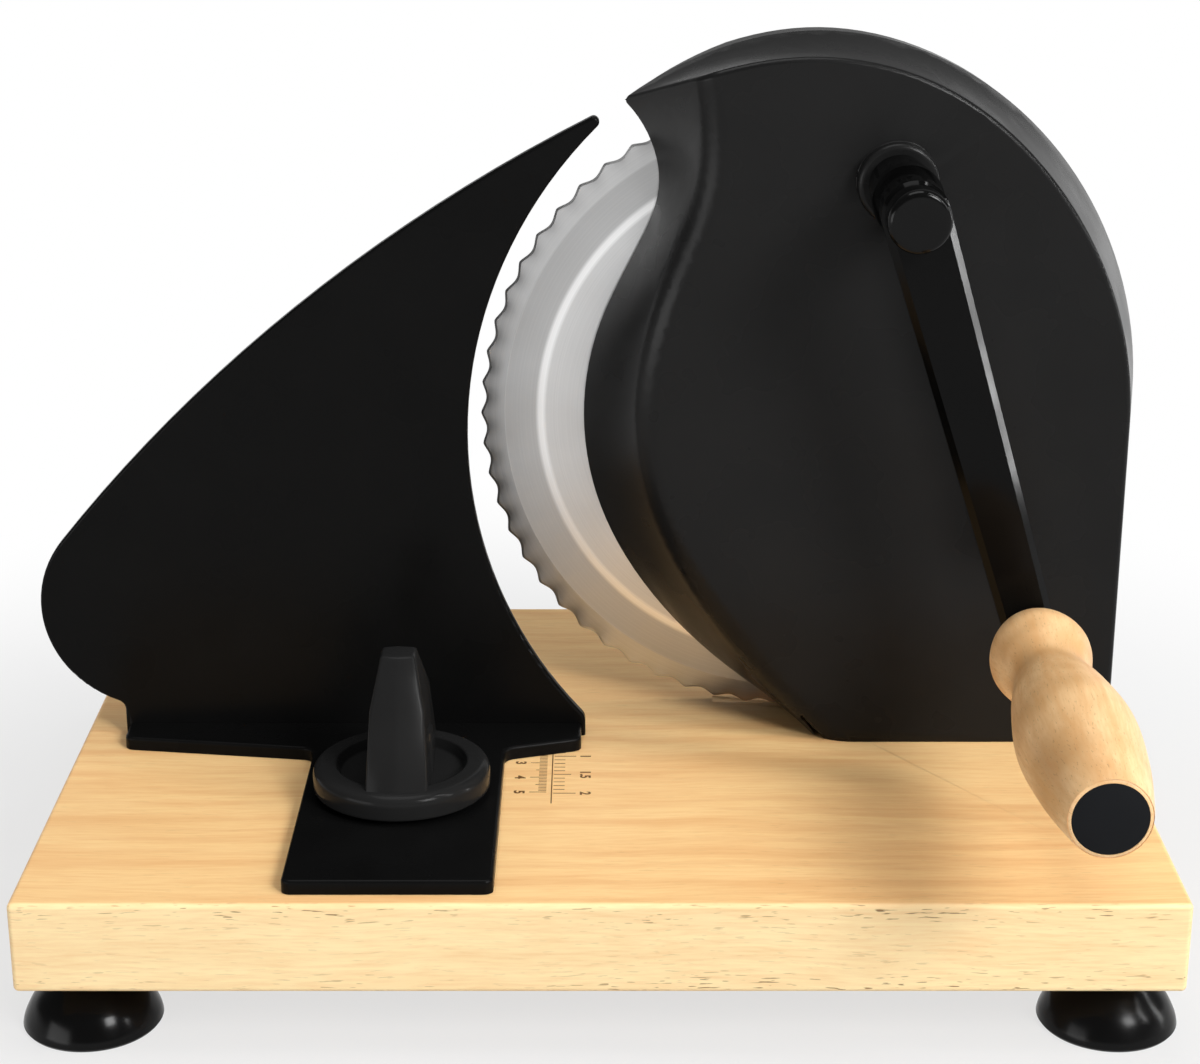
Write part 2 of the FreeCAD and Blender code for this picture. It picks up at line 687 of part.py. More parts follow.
def make_blade_gear():
    """Gear that carries the blade on a spigot and turns on the fixed axle."""
    behind = 1.2                          # spigot length inside the blade
    front = BLADE_FRONT - HUB_FRONT       # hub length in front of the blade
    disc = gear_blank("blade_gear", count("gear_teeth"), MESH_ANGLE + 180.0 / count("gear_teeth"))
    hub = cylinder("blade_gear_hub", "Sizes.gear_hub_dia / 2", front)
    spigot = cylinder("blade_gear_spigot", "Sizes.spigot_dia / 2", behind + 1, base=-behind)
    bore = cylinder("blade_gear_bore", "Sizes.axle_dia / 2 + Sizes.run_gap + Sizes.bush_wall",
                    front + 10, base=-5)
    tools = [bore]
    for i in range(count("blade_screws")):
        turn = Rotation(Vector(0, 0, 1), 360.0 * i / count("blade_screws"))
        spot = turn.multVec(Vector(size("blade_screw_circle"), 0, -1))
        tools.append(cylinder("blade_gear_hole", "Sizes.blade_screw_dia / 2", "Sizes.gear_width",
                              place=Placement(spot, turn)))
    whole = fused("blade_gear_solid", [disc, hub, spigot])
    piece(cut("blade_gear", whole, tools), "blade_gear", facing(AXIS_X, BLADE_FRONT, AXIS_Z))


def make_pinion():
    """Crank pinion with a hub for the cross pin."""
    disc = gear_blank("drive_pinion", count("pinion_teeth"), MESH_ANGLE + 180.0)
    long = BLADE_FRONT - 1.0 - BOSS_BACK - 1.0 - size("side_gap")
    hub = cylinder("drive_pinion_hub", "Sizes.shaft_dia", long)
    bore = cylinder("drive_pinion_bore", "Sizes.shaft_dia / 2", long + 10, base=-5)
    lean = Rotation(Vector(0, 0, 1), size("arm_lean"))
    start = lean.multVec(Vector(-size("shaft_dia") - 1, 0, pin_level()))
    across = Placement(start, lean * Rotation(Vector(0, 1, 0), 90))
    hole = cylinder("drive_pinion_hole", "Sizes.pin_dia / 2", "2 * Sizes.shaft_dia + 2", place=across)
    solid = cut("drive_pinion", fused("drive_pinion_solid", [disc, hub]), [bore, hole])
    piece(solid, "drive_pinion", facing(CRANK_X, BLADE_FRONT - 1.0, CRANK_Z))


def pin_level():
    """Height of the cross pin above the pinion's back face."""
    return size("gear_width") + 3.2


# ---------------------------------------------------------------- blade and its bearing

def make_blade():
    """Disc blade: scalloped teeth, a ground bevel on the front, a stamped step."""
    blade = new_body("blade", facing(AXIS_X, size("blade_plane"), AXIS_Z))
    tips, roots = size("blade_radius"), size("blade_radius") - size("tooth_depth")
    number = count("blade_teeth")

    def spot(radius, share):
        angle = 2 * math.pi * share / number
        return (radius * math.cos(angle), radius * math.sin(angle))

    outline = [spot(tips, 0)] + [(spot(roots, i + 0.5), spot(tips, i + 1)) for i in range(number)]
    rim = draw(sketch_on(blade, "XY_Plane"), outline[:-1] + [(spot(roots, number - 0.5), spot(tips, 0))])
    pad(blade, rim, "Sizes.blade_thick")

    # ground bevel on the front, then the shallow step of the stamped outer ring
    thick, edge = size("blade_thick"), size("bevel_edge")
    inner = tips - size("bevel_width")
    step = size("step_radius")
    sunk = thick - size("step_height")
    out = tips + 1.0
    bevel = [(step, thick + 1), (step + 1.0, sunk), (inner, sunk), (out, edge), (out, thick + 1)]
    revolve(blade, draw(sketch_on(blade, "XZ_Plane"), bevel), "Groove")

    holes = draw_circle(sketch_on(blade, "XY_Plane"), 0, 0, "Sizes.spigot_dia + 2 * Sizes.run_gap")
    for i in range(count("blade_screws")):
        angle = 2 * math.pi * i / count("blade_screws")
        draw_circle(holes, size("blade_screw_circle") * math.cos(angle),
                    size("blade_screw_circle") * math.sin(angle),
                    "Sizes.blade_screw_dia + 2 * Sizes.slip_gap")
    pocket(blade, holes, "Sizes.blade_thick", up=True)
    return blade


def axle_steps(radius, length, thread, depth):
    """Half section of a plain axle with a threaded hole in its far end."""
    return [(0, 0), (radius - 0.5, 0), (radius, 0.5), (radius, length - 0.5), (radius - 0.5, length),
            (thread, length), (thread, length - depth), (0, length - depth)]


def make_blade_bearing():
    """Fixed axle, bush in the gear, washers, and the coin-slot screw that holds the blade on."""
    radius, thread = size("axle_dia") / 2, size("lock_thread") / 2
    front = size("face_plane") + size("wall") + 0.5
    back = size("blade_plane") + size("side_gap")
    turned("blade_axle", axle_steps(radius, back - front, thread, 13.0), behind(AXIS_X, front, AXIS_Z))
    inner = radius + size("run_gap")
    outer = inner + size("bush_wall")
    ring("blade_bush", inner, outer, size("blade_plane") - HUB_FRONT, behind(AXIS_X, HUB_FRONT, AXIS_Z))
    ring("blade_thrust_washer", radius + size("slip_gap"), size("gear_hub_dia") / 2, 1.0,
         behind(AXIS_X, HUB_FRONT - size("side_gap") - 1.0, AXIS_Z))
    ring("blade_lock_washer", thread + size("slip_gap"), size("lock_head_dia") / 2 - 1.0, 0.8,
         behind(AXIS_X, back, AXIS_Z))
    head, tall = size("lock_head_dia") / 2, size("lock_head")
    lock = turned("blade_lock_screw", [(0, -12.0), (thread - 0.4, -12.0), (thread, -11.6), (thread, 0),
                                       (head, 0), (head, tall - 1.0), ((head - 0.3, tall - 0.3),
                                                                       (head - 1.0, tall)), (0, tall)],
                  behind(AXIS_X, back + 0.8, AXIS_Z))
    slot = [(-head - 1, -0.9), (head + 1, -0.9), (head + 1, 0.9), (-head - 1, 0.9)]
    pocket(lock, draw(sketch_on(lock, "XY_Plane", tall), slot), "Sizes.lock_head / 2")
    dia, circle = size("blade_screw_dia"), size("blade_screw_circle")
    reach = size("blade_thick") + size("gear_width") - 1.5       # half a millimetre short of the hole
    screws = []
    for i in range(count("blade_screws")):
        angle = 2 * math.pi * i / count("blade_screws")
        screws.append(screw("blade_screw", dia, reach, dia * 1.7, dia * 0.45,
                            behind(AXIS_X + circle * math.cos(angle), size("blade_plane"),
                                   AXIS_Z + circle * math.sin(angle))))
    group("blade_screws", screws)


# ---------------------------------------------------------------- crank

def square_steps(width, depth, x=0.0, y=0.0):
    """A rectangle centred on (x, y)."""
    return [(x - width / 2, y - depth / 2), (x + width / 2, y - depth / 2),
            (x + width / 2, y + depth / 2), (x - width / 2, y + depth / 2)]


def rounded(corners):
    """Steps of a polygon whose corners (x, y, radius) are rounded."""
    steps = []
    for i, (x, y, radius) in enumerate(corners):
        here = Vector(x, y, 0)
        back = (vec(corners[i - 1]) - here).normalize()
        on = (vec(corners[(i + 1) % len(corners)]) - here).normalize()
        if radius <= 0:
            steps.append((x, y))
            continue
        half = back.getAngle(on) / 2
        run = radius / math.tan(half)
        middle = here + (back + on).normalize() * (radius / math.sin(half) - radius)
        first, last = here + back * run, here + on * run
        steps += [(first.x, first.y), ((middle.x, middle.y), (last.x, last.y))]
    return steps


def make_crank_shaft():
    """Shaft in its flanged bush: a square seat for the arm and a thread for the cap nut."""
    rear, seat = BLADE_FRONT - 1.2, ARM_BACK + 8.0
    radius = size("shaft_dia") / 2
    long, tip = rear - seat, rear - size("arm_front") + size("cap_nut_height") - 2.5
    thread = size("shaft_thread") / 2
    shaft = turned("crank_shaft", [(0, 0), (radius - 0.5, 0), (radius, 0.5), (radius, long),
                                   (thread, long), (thread, tip - 0.5), (thread - 0.5, tip), (0, tip)],
                   facing(CRANK_X, rear, CRANK_Z, size("arm_lean")))
    seat_long = seat - size("arm_front") - 1.0
    square = square_steps(size("shaft_square"), size("shaft_square"))
    pad(shaft, draw(sketch_on(shaft, "XY_Plane", long), square), seat_long)
    hole = draw_circle(sketch_on(shaft, "YZ_Plane"), 0, pin_level() - 0.2, "Sizes.pin_dia")
    feature(shaft, "Pocket", hole, Length=size("shaft_dia") + 2, Midplane=True)

    inner = radius + size("run_gap")
    outer, flange, deep = radius + size("bush_wall"), radius + 4.0, BOSS_BACK - BOSS_FRONT
    turned("crank_bush", [(inner, 0), (outer, 0), (outer, deep), (flange, deep), (flange, deep + 1.0),
                          (inner, deep + 1.0)], behind(CRANK_X, BOSS_FRONT, CRANK_Z))
    pin = doc.addObject("Part::Cylinder", "pinion_pin")
    pin.setExpression("Radius", "Sizes.pin_dia / 2")
    pin.setExpression("Height", "2 * Sizes.shaft_dia - 1")
    across = Placement(Vector(0.5 - size("shaft_dia"), 0, pin_level()), Rotation(Vector(0, 1, 0), 90))
    piece(pin, "pinion_pin", facing(CRANK_X, BLADE_FRONT - 1.0, CRANK_Z, size("arm_lean")) * across)


def make_crank_arm():
    """Tapered arm with a bevelled front, and a long hub with a ring that reaches back to the boss."""
    arm = new_body("crank_arm", facing(CRANK_X, ARM_BACK, CRANK_Z, size("arm_lean")))
    big, small, long = size("arm_hub_radius"), size("arm_end_radius"), size("arm_length")
    slope = math.asin((big - small) / long)
    across, down = math.cos(slope), math.sin(slope)
    outline = [(big * across, -big * down), (small * across, -long - small * down),
               ((0, -long - small), (-small * across, -long - small * down)),
               (-big * across, -big * down), ((0, big), (big * across, -big * down))]
    pad(arm, draw(sketch_on(arm, "XY_Plane"), outline), "Sizes.arm_thick")
    round_edges(arm, lambda edge: edge_at(edge, 2, size("arm_thick")), "Sizes.arm_bevel", "Chamfer")
    reach = BOSS_FRONT - size("side_gap") - ARM_BACK
    pad(arm, draw_circle(sketch_on(arm, "XY_Plane"), 0, 0, "Sizes.hub_dia"), reach, down=True)
    hub_ring = draw_circle(sketch_on(arm, "XY_Plane", -reach / 3), 0, 0, "Sizes.hub_ring_dia")
    pad(arm, hub_ring, 4.0, down=True)
    seat = size("shaft_square") + 0.1
    pocket(arm, draw(sketch_on(arm, "XY_Plane", size("arm_thick")), square_steps(seat, seat)),
           size("arm_thick") + reach)
    pocket(arm, draw_circle(sketch_on(arm, "XY_Plane", -8.0), 0, 0, "Sizes.shaft_dia + 0.1"), reach)
    hole = draw_circle(sketch_on(arm, "XY_Plane", size("arm_thick")), 0, -long, "Sizes.spindle_dia")
    pocket(arm, hole, "Sizes.arm_thick")
    radius, tall, thread = size("cap_nut_dia") / 2, size("cap_nut_height"), size("shaft_thread") / 2
    turned("crank_cap_nut", [(thread, 0), (radius - 0.4, 0), (radius, 0.4), (radius, tall - 1.6),
                             ((radius - 0.45, tall - 0.45), (radius - 1.6, tall)), (0, tall),
                             (0, tall - 2.0), (thread, tall - 2.0)],
           facing(CRANK_X, size("arm_front"), CRANK_Z))


def make_grip():
    """Turned wooden grip on two sleeves round a fixed spindle, with its screw, washer and cap."""
    long, spindle, sleeve = size("grip_length"), size("spindle_dia") / 2, size("sleeve_dia") / 2
    cap, cap_deep = size("grip_cap_dia") / 2, size("grip_cap_thick")
    shoulder = long - 14.0 - size("side_gap")          # the washer holds the grip here
    well, bore = size("grip_well_dia") / 2, spindle + 0.4
    tube = size("sleeve_length")
    collar, neck = size("grip_collar_dia") / 2, size("grip_neck_dia") / 2
    belly, end = size("grip_belly_dia") / 2, size("grip_end_dia") / 2
    shape = [(collar * 0.82, 1.8), (collar, 10.0), (collar * 0.93, 17.5), (neck, 28.5),
             (belly * 0.86, long * 0.41), (belly, long * 0.6), (belly * 0.9, long * 0.8),
             (end + 1.0, long - 4.5), (end, long)]
    turned("grip", [(sleeve, 0), (collar * 0.6, 0), shape, (cap, long), (cap, long - cap_deep),
                    (well, long - cap_deep), (well, shoulder), (sleeve, shoulder),
                    (sleeve, shoulder - tube), (bore, shoulder - tube), (bore, tube), (sleeve, tube)],
           facing(GRIP_X, GRIP_BACK, GRIP_Z))
    inner = spindle + size("run_gap")
    ring("grip_sleeve_back", inner, sleeve, tube, facing(GRIP_X, GRIP_BACK, GRIP_Z))
    ring("grip_sleeve_front", inner, sleeve, tube, facing(GRIP_X, GRIP_BACK - shoulder + tube, GRIP_Z))
    turned("grip_cap", [(0, 0), (cap, 0), (cap, cap_deep - 0.3),
                        [(cap * 0.8, cap_deep + 0.35), (cap * 0.4, cap_deep + 0.6), (0, cap_deep + 0.65)]],
           facing(GRIP_X, GRIP_FRONT + cap_deep, GRIP_Z))

    reach = ARM_BACK - GRIP_BACK + shoulder + size("side_gap")
    thread, deep = 2.0, 10.0
    turned("grip_spindle", [(0, -1.8), (3.6, -1.8), ((5.4, -1.2), (6.0, 0)), (spindle, 0),
                            (spindle, reach), (thread, reach), (thread, reach - deep), (0, reach - deep)],
           facing(GRIP_X, ARM_BACK, GRIP_Z))
    washer = 1.0
    ring("grip_washer", thread + size("slip_gap"), well - 0.7, washer,
         facing(GRIP_X, ARM_BACK - reach, GRIP_Z))
    screw("grip_screw", 2 * thread, deep - 1.0, 4.2 * thread, 1.4 * thread,
          facing(GRIP_X, ARM_BACK - reach - washer, GRIP_Z))


# ---------------------------------------------------------------- stop plate and clamp

STOP_LIFT = 0.1            # the sliding parts ride this far above the board


def meet(first, first_radius, second, second_radius, near):
    """Where two circles cross: the crossing nearer to the given point."""
    gap = (second - first).Length
    along = (gap ** 2 + first_radius ** 2 - second_radius ** 2) / (2 * gap)
    aside = math.sqrt(first_radius ** 2 - along ** 2)
    on = (second - first).normalize()
    spots = [first + on * along + Vector(-on.y, on.x, 0) * turn * aside for turn in (1, -1)]
    return min(spots, key=lambda p: (p - near).Length)


def beyond(centre, through, radius):
    """The point of a circle that lies beyond another point seen from its centre."""
    return centre + (through - centre).normalize() * radius


def left_of(centre, radius, level):
    """The point of a circle at the given level, on its left side."""
    return Vector(centre.x - math.sqrt(radius ** 2 - (centre.y - level) ** 2), level, 0)


def stop_outline():
    """The upright seen from the front: hollow edge, sharp tip, long upper edge, rounded end."""
    hollow, upper, end, tip = (size("throat_radius"), size("stop_edge_radius"),
                               size("stop_end_radius"), size("stop_tip_radius"))
    hollow_mid = Vector(AXIS_X - size("blade_radius") - size("throat_gap") + hollow, AXIS_Z, 0)
    end_mid = Vector(size("stop_end_x"), size("stop_end_z"), 0)
    apex = left_of(hollow_mid, hollow, size("stop_tip_z")) - Vector(size("stop_tip_lead"), 0, 0)
    upper_mid = meet(end_mid, upper - end, apex, upper, near=Vector(upper, -upper, 0))
    tip_mid = meet(hollow_mid, hollow + tip, upper_mid, upper - tip, near=apex)
    tip_in, tip_out = beyond(hollow_mid, tip_mid, hollow), beyond(upper_mid, tip_mid, upper)
    end_on = beyond(upper_mid, end_mid, upper)

    # both long curves run into the short upright sides through a small round
    toe, heel = size("stop_toe_radius"), size("stop_heel_radius")
    toe_mid = left_of(hollow_mid, hollow + toe, size("stop_thick") + size("stop_toe_rise"))
    heel_mid = left_of(end_mid, end + heel, size("stop_thick") + size("stop_heel_rise"))
    right, left = toe_mid.x + toe, heel_mid.x + heel
    toe_on, toe_off = Vector(right, toe_mid.y, 0), beyond(hollow_mid, toe_mid, hollow)
    heel_on, heel_off = beyond(end_mid, heel_mid, end), Vector(left, heel_mid.y, 0)

    def arc(centre, radius, first, last):
        middle = beyond(centre, (first + last) / 2, radius)
        return ((middle.x, middle.y), (last.x, last.y))

    return [(right, 0), (toe_on.x, toe_on.y), arc(toe_mid, toe, toe_on, toe_off),
            arc(hollow_mid, hollow, toe_off, tip_in), arc(tip_mid, tip, tip_in, tip_out),
            arc(upper_mid, upper, tip_out, end_on), arc(end_mid, end, end_on, heel_on),
            arc(heel_mid, heel, heel_on, heel_off), (left, 0)]


def make_stop_plate():
    """Sail-shaped upright in one piece with its foot flange and the clamp tab."""
    thick = size("stop_thick")
    plate = new_body("stop_plate", at(0, STOP_BACK, STOP_LIFT))
    tab_left = size("tab_centre_x") - size("tab_width") / 2
    tab_right = size("tab_centre_x") + size("tab_width") / 2
    front = size("tab_front") - STOP_BACK
    outline = stop_outline()
    step = 1.2 * size("stop_round")      # the flange ends inside the upright's rounded sides
    right, left = outline[0][0] - step, outline[-1][0] + step
    corner, blend, tab_corner = size("flange_round"), size("tab_blend"), size("tab_round")
    base = rounded([(left, 0, 0), (left, -size("flange_left"), corner),
                    (tab_left, -size("flange_middle"), blend), (tab_left, front, tab_corner),
                    (tab_right, front, tab_corner), (tab_right, -size("flange_middle"), blend),
                    (right, -size("flange_right"), corner), (right, 0, 0)])

    pad(plate, draw(sketch_on(plate, "XZ_Plane"), outline), "Sizes.stop_thick")
    round_edges(plate, lambda e: (edge_at(e, 1, 0) or edge_at(e, 1, -thick)) and e.BoundBox.ZMax > 0.1,
                "Sizes.stop_round")
    pad(plate, draw(sketch_on(plate, "XY_Plane"), base), "Sizes.stop_thick")
    round_edges(plate, lambda e: edge_at(e, 2, thick) and e.BoundBox.YMax < -thick + 0.1
                and not edge_at(e, 1, -thick), "Sizes.stop_round")

    # bolt hole and two countersunk holes for the guide block's screws
    x, y = size("tab_centre_x"), size("knob_y") - STOP_BACK
    def drill(along, diameter, depth):
        pocket(plate, draw_circle(sketch_on(plate, "XY_Plane", thick), x, y + along, diameter), depth)

    drill(0.0, "Sizes.bolt_dia + 2 * Sizes.slip_gap", "Sizes.stop_thick")
    for offset in (-KEY_OFFSET, KEY_OFFSET):
        drill(offset, "Sizes.key_screw_dia", "Sizes.stop_thick")
        drill(offset, "Sizes.key_screw_dia * 2", "Sizes.key_screw_dia / 2")
    return plate


KEY_OFFSET = 7.6


def make_clamp():
    """Guide block, clamp bolt and plate under the board, washer, knob and its threaded insert."""
    x, y, thick = size("tab_centre_x"), size("knob_y"), size("stop_thick")
    block = new_body("guide_block", at(x, y, STOP_LIFT - size("block_height")))
    outline = square_steps(size("slot_width") - 2 * size("slip_gap"), size("block_length"))
    pad(block, draw(sketch_on(block, "XY_Plane"), outline), "Sizes.block_height")
    holes = draw_circle(sketch_on(block, "XY_Plane"), 0, 0, "Sizes.bolt_dia + 2 * Sizes.slip_gap")
    pocket(block, holes, "Sizes.block_height", up=True)
    holes = sketch_on(block, "XY_Plane", size("block_height"))
    for offset in (-KEY_OFFSET, KEY_OFFSET):
        draw_circle(holes, 0, offset, "Sizes.key_screw_dia")
    pocket(block, holes, 9.0)
    dia = size("key_screw_dia")
    group("guide_screws", [screw("guide_screw", dia, 10.0, dia * 2, dia * 0.5,
                                 at(x, y + offset, STOP_LIFT + thick), countersunk=True)
                           for offset in (-KEY_OFFSET, KEY_OFFSET)])

    ceiling = size("under_recess") - size("board_thick") - STOP_LIFT
    plate_low = ceiling - size("clamp_plate_thick")
    plate = new_body("clamp_plate", at(x, y, plate_low))
    outline = square_steps(size("clamp_plate_width"), size("clamp_plate_length"))
    pad(plate, draw(sketch_on(plate, "XY_Plane"), outline), "Sizes.clamp_plate_thick")
    round_edges(plate, lambda e: e.BoundBox.ZLength > 1.0, "Sizes.clamp_plate_thick")
    pocket(plate, draw_circle(sketch_on(plate, "XY_Plane"), 0, 0, "Sizes.bolt_dia + 2 * Sizes.slip_gap"),
           "Sizes.clamp_plate_thick", up=True)

    # the bolt ends level with the top of the knob's insert
    washer = 1.2
    knob_low = STOP_LIFT + thick + washer + size("side_gap")
    shank, head, top = size("bolt_dia") / 2, 4.6, knob_low + size("insert_depth")
    bolt = turned("clamp_bolt", [(0, 0), (shank, 0), (shank, top - plate_low - 0.6),
                                 (shank - 0.6, top - plate_low), (0, top - plate_low)],
                  at(x, y, plate_low))
    wide = size("bolt_dia") * 0.9
    hexagon = [(wide * math.cos(math.radians(60 * i)), wide * math.sin(math.radians(60 * i)))
               for i in range(6)]
    pad(bolt, draw(sketch_on(bolt, "XY_Plane"), hexagon), head, down=True)

    ring("knob_washer", shank + size("slip_gap"), 10.5, washer, at(x, y, STOP_LIFT + thick))
    make_knob(x, y, knob_low)


def make_knob(x, y, z):
    """Dished disc with a tall wing whose ends are flush with its rim, moulded over a brass insert."""
    radius, rim, floor = size("knob_dia") / 2, size("knob_rim"), size("knob_rim") - size("knob_recess")
    insert, deep = size("insert_dia") / 2, size("insert_depth")
    core = insert + 2.5
    knob = turned("clamp_knob", [(insert, 0), (radius - 0.8, 0), (radius, 0.8), (radius, rim - 1.2),
                                 ((radius - 0.35, rim - 0.35), (radius - 1.2, rim)), (radius - 2.0, rim),
                                 (radius - 4.2, floor), (core, floor), (core, deep + 2.0),
                                 (0, deep + 2.0), (0, deep), (insert, deep)], at(x, y, z))

    def wing(wide, long):
        """Six-sided section: both ends have a low ridge in the middle."""
        half, end = wide / 2, long / 2
        corner = end - 0.09 * wide
        return [(0, -end), (half, -corner), (half, corner), (0, end), (-half, corner), (-half, -corner)]

    reach = 2 * radius - 0.8
    levels = [(floor - 0.5, size("fin_base"), reach),
              (rim, size("fin_base"), reach),
              (size("knob_height") * 0.67, size("fin_waist"), radius * 1.04),
              (size("knob_height"), size("fin_top"), radius * 0.36)]
    sections = [draw(sketch_on(knob, "XY_Plane", level), wing(wide, long)) for level, wide, long in levels]
    item = knob.newObject("PartDesign::AdditiveLoft", "Wing")
    item.Profile = sections[0]
    item.Sections = sections[1:]
    item.Ruled = True
    doc.recompute()
    pocket(knob, draw_circle(sketch_on(knob, "XY_Plane"), 0, 0, "Sizes.insert_dia"), deep, up=True)
    ring("knob_insert", size("bolt_dia") / 2 + size("run_gap"), insert, deep, at(x, y, z))


def place_on_origin():
    """Move every piece so that the slicer stands on Z = 0 with its extents centred on X and Y."""
    whole = FreeCAD.BoundBox()
    for obj in pieces:
        whole.add(obj.Shape.optimalBoundingBox(False, False))
    shift = Vector(-(whole.XMin + whole.XMax) / 2, -(whole.YMin + whole.YMax) / 2, -whole.ZMin)
    for obj in pieces:
        obj.Placement = Placement(shift, Rotation()) * obj.Placement
    doc.recompute()
    return shift


def export():
    """Check every piece and write its STEP file."""
    for obj in doc.Objects:
        if any(flag in ("Invalid", "Error") for flag in obj.State):
            raise RuntimeError("%s failed: %s" % (obj.Label, obj.State))
    for obj in pieces:
        if obj.Shape.isNull() or not obj.Shape.isValid():
            raise RuntimeError("%s has no valid shape" % obj.Label)
        obj.Shape.exportStep("parts/%s.step" % obj.Label)


make_board()
make_feet()
make_housing()
make_housing_screws()
make_blade_gear()
make_pinion()
make_blade()
make_blade_bearing()
make_crank_shaft()
make_crank_arm()
make_grip()
make_stop_plate()
make_clamp()
place_on_origin()
export()
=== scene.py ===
"""Looks of the bread slicer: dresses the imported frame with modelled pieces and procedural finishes."""

from __future__ import annotations

import logging
import math
from dataclasses import dataclass, field
from enum import Enum

import bmesh
import bpy
from bpy.types import ID, Material, Mesh, Node, NodeSocket, NodeTree, Object, World
from mathutils import Matrix, Vector

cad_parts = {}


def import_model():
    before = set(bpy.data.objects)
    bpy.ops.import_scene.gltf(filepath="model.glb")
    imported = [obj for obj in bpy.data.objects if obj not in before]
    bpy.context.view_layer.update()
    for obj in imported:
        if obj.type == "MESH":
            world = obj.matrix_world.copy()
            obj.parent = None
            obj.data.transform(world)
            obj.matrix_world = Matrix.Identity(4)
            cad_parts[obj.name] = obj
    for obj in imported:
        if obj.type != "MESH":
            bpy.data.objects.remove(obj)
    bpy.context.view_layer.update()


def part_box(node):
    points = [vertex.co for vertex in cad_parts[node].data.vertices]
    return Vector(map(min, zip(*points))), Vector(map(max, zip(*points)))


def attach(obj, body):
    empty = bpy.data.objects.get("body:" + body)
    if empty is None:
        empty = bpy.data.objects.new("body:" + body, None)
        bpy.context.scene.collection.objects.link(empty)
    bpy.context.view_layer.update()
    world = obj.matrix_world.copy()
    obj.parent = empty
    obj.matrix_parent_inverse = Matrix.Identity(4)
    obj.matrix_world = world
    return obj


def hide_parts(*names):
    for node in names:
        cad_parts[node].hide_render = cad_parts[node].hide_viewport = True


LOG = logging.getLogger("bread_slicer")
MM = 0.001
WELD = 1e-6                        # points of a modelled shape that are nearer than this, in metres, are one
PACKED_WELD = 2e-6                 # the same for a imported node
FLAT = math.radians(0.02)          # packed triangles that turn by less than this lie in one flat face
BLACK = (0.0, 0.0, 0.0, 1.0)
WHITE = (1.0, 1.0, 1.0, 1.0)


class Body(Enum):
    """The rigid bodies a piece can ride on."""

    BASE = "base"
    CUTTER = "cutter"
    CRANK = "crank"
    HANDLE = "handle"
    STOP = "stop"
    KNOB = "knob"


class Grain(Enum):
    """The axis along which the fibres of a piece of wood run."""

    ALONG_X = 0
    ALONG_Y = 1


# ---------------------------------------------------------------- colour and nodes

def linear(code: str) -> tuple[float, float, float, float]:
    """Turn an sRGB hex value into linear colour.

    Args:
        code: The colour as "#rrggbb".

    Returns:
        Linear red, green, blue and an alpha of one.
    """
    parts = [int(code[i:i + 2], 16) / 255 for i in (1, 3, 5)]
    red, green, blue = [c / 12.92 if c <= 0.04045 else ((c + 0.055) / 1.055) ** 2.4 for c in parts]
    return red, green, blue, 1.0


def add_node(tree: NodeTree, kind: str, inputs: dict | None = None,
             stops: list[tuple[float, tuple]] | None = None, **settings: object) -> Node:
    """Add a node with its settings, values and links.

    Args:
        tree: The node tree that gets the node.
        kind: The node's class name.
        inputs: Socket name or number to a value, or to the output or the node that feeds it.
        stops: Places and colours of a colour ramp.
        settings: Properties of the node.

    Returns:
        The new node.
    """
    node = tree.nodes.new(kind)
    for name, value in settings.items():
        setattr(node, name, value)
    for name, value in (inputs or {}).items():
        if isinstance(value, Node):
            value = next(output for output in value.outputs if output.enabled)
        if isinstance(value, NodeSocket):
            tree.links.new(value, node.inputs[name])
        else:
            node.inputs[name].default_value = value
    if stops:
        elements = node.color_ramp.elements
        while len(elements) < len(stops):
            elements.new(0.5)
        for element, (place, colour) in zip(elements, stops):
            element.position, element.color = place, colour
    return node


def emptied(owner: Material | World) -> NodeTree:
    """Return the node tree of a new material or world, with nothing in it."""
    owner.use_nodes = True
    owner.node_tree.nodes.clear()
    return owner.node_tree


# ---------------------------------------------------------------- finishes

@dataclass(frozen=True)
class Finish:
    """A surface finish that becomes one material, made once and shared."""

    name: str

    def material(self) -> Material:
        """Return this finish's material, making it the first time."""
        found = bpy.data.materials.get(self.name)
        if found:
            return found
        material = bpy.data.materials.new(self.name)
        tree = emptied(material)
        place = add_node(tree, "ShaderNodeTexCoord")
        surface = add_node(tree, "ShaderNodeBsdfPrincipled", self.shade(tree, place))
        add_node(tree, "ShaderNodeOutputMaterial", {"Surface": surface})
        return material

    def shade(self, tree: NodeTree, place: Node) -> dict[str, object]:
        """Build the patterns of the finish.

        Args:
            tree: The material's tree.
            place: Its Texture Coordinate node.

        Returns:
            Each socket of the shader that is set, with its value or what feeds it.
        """
        raise NotImplementedError


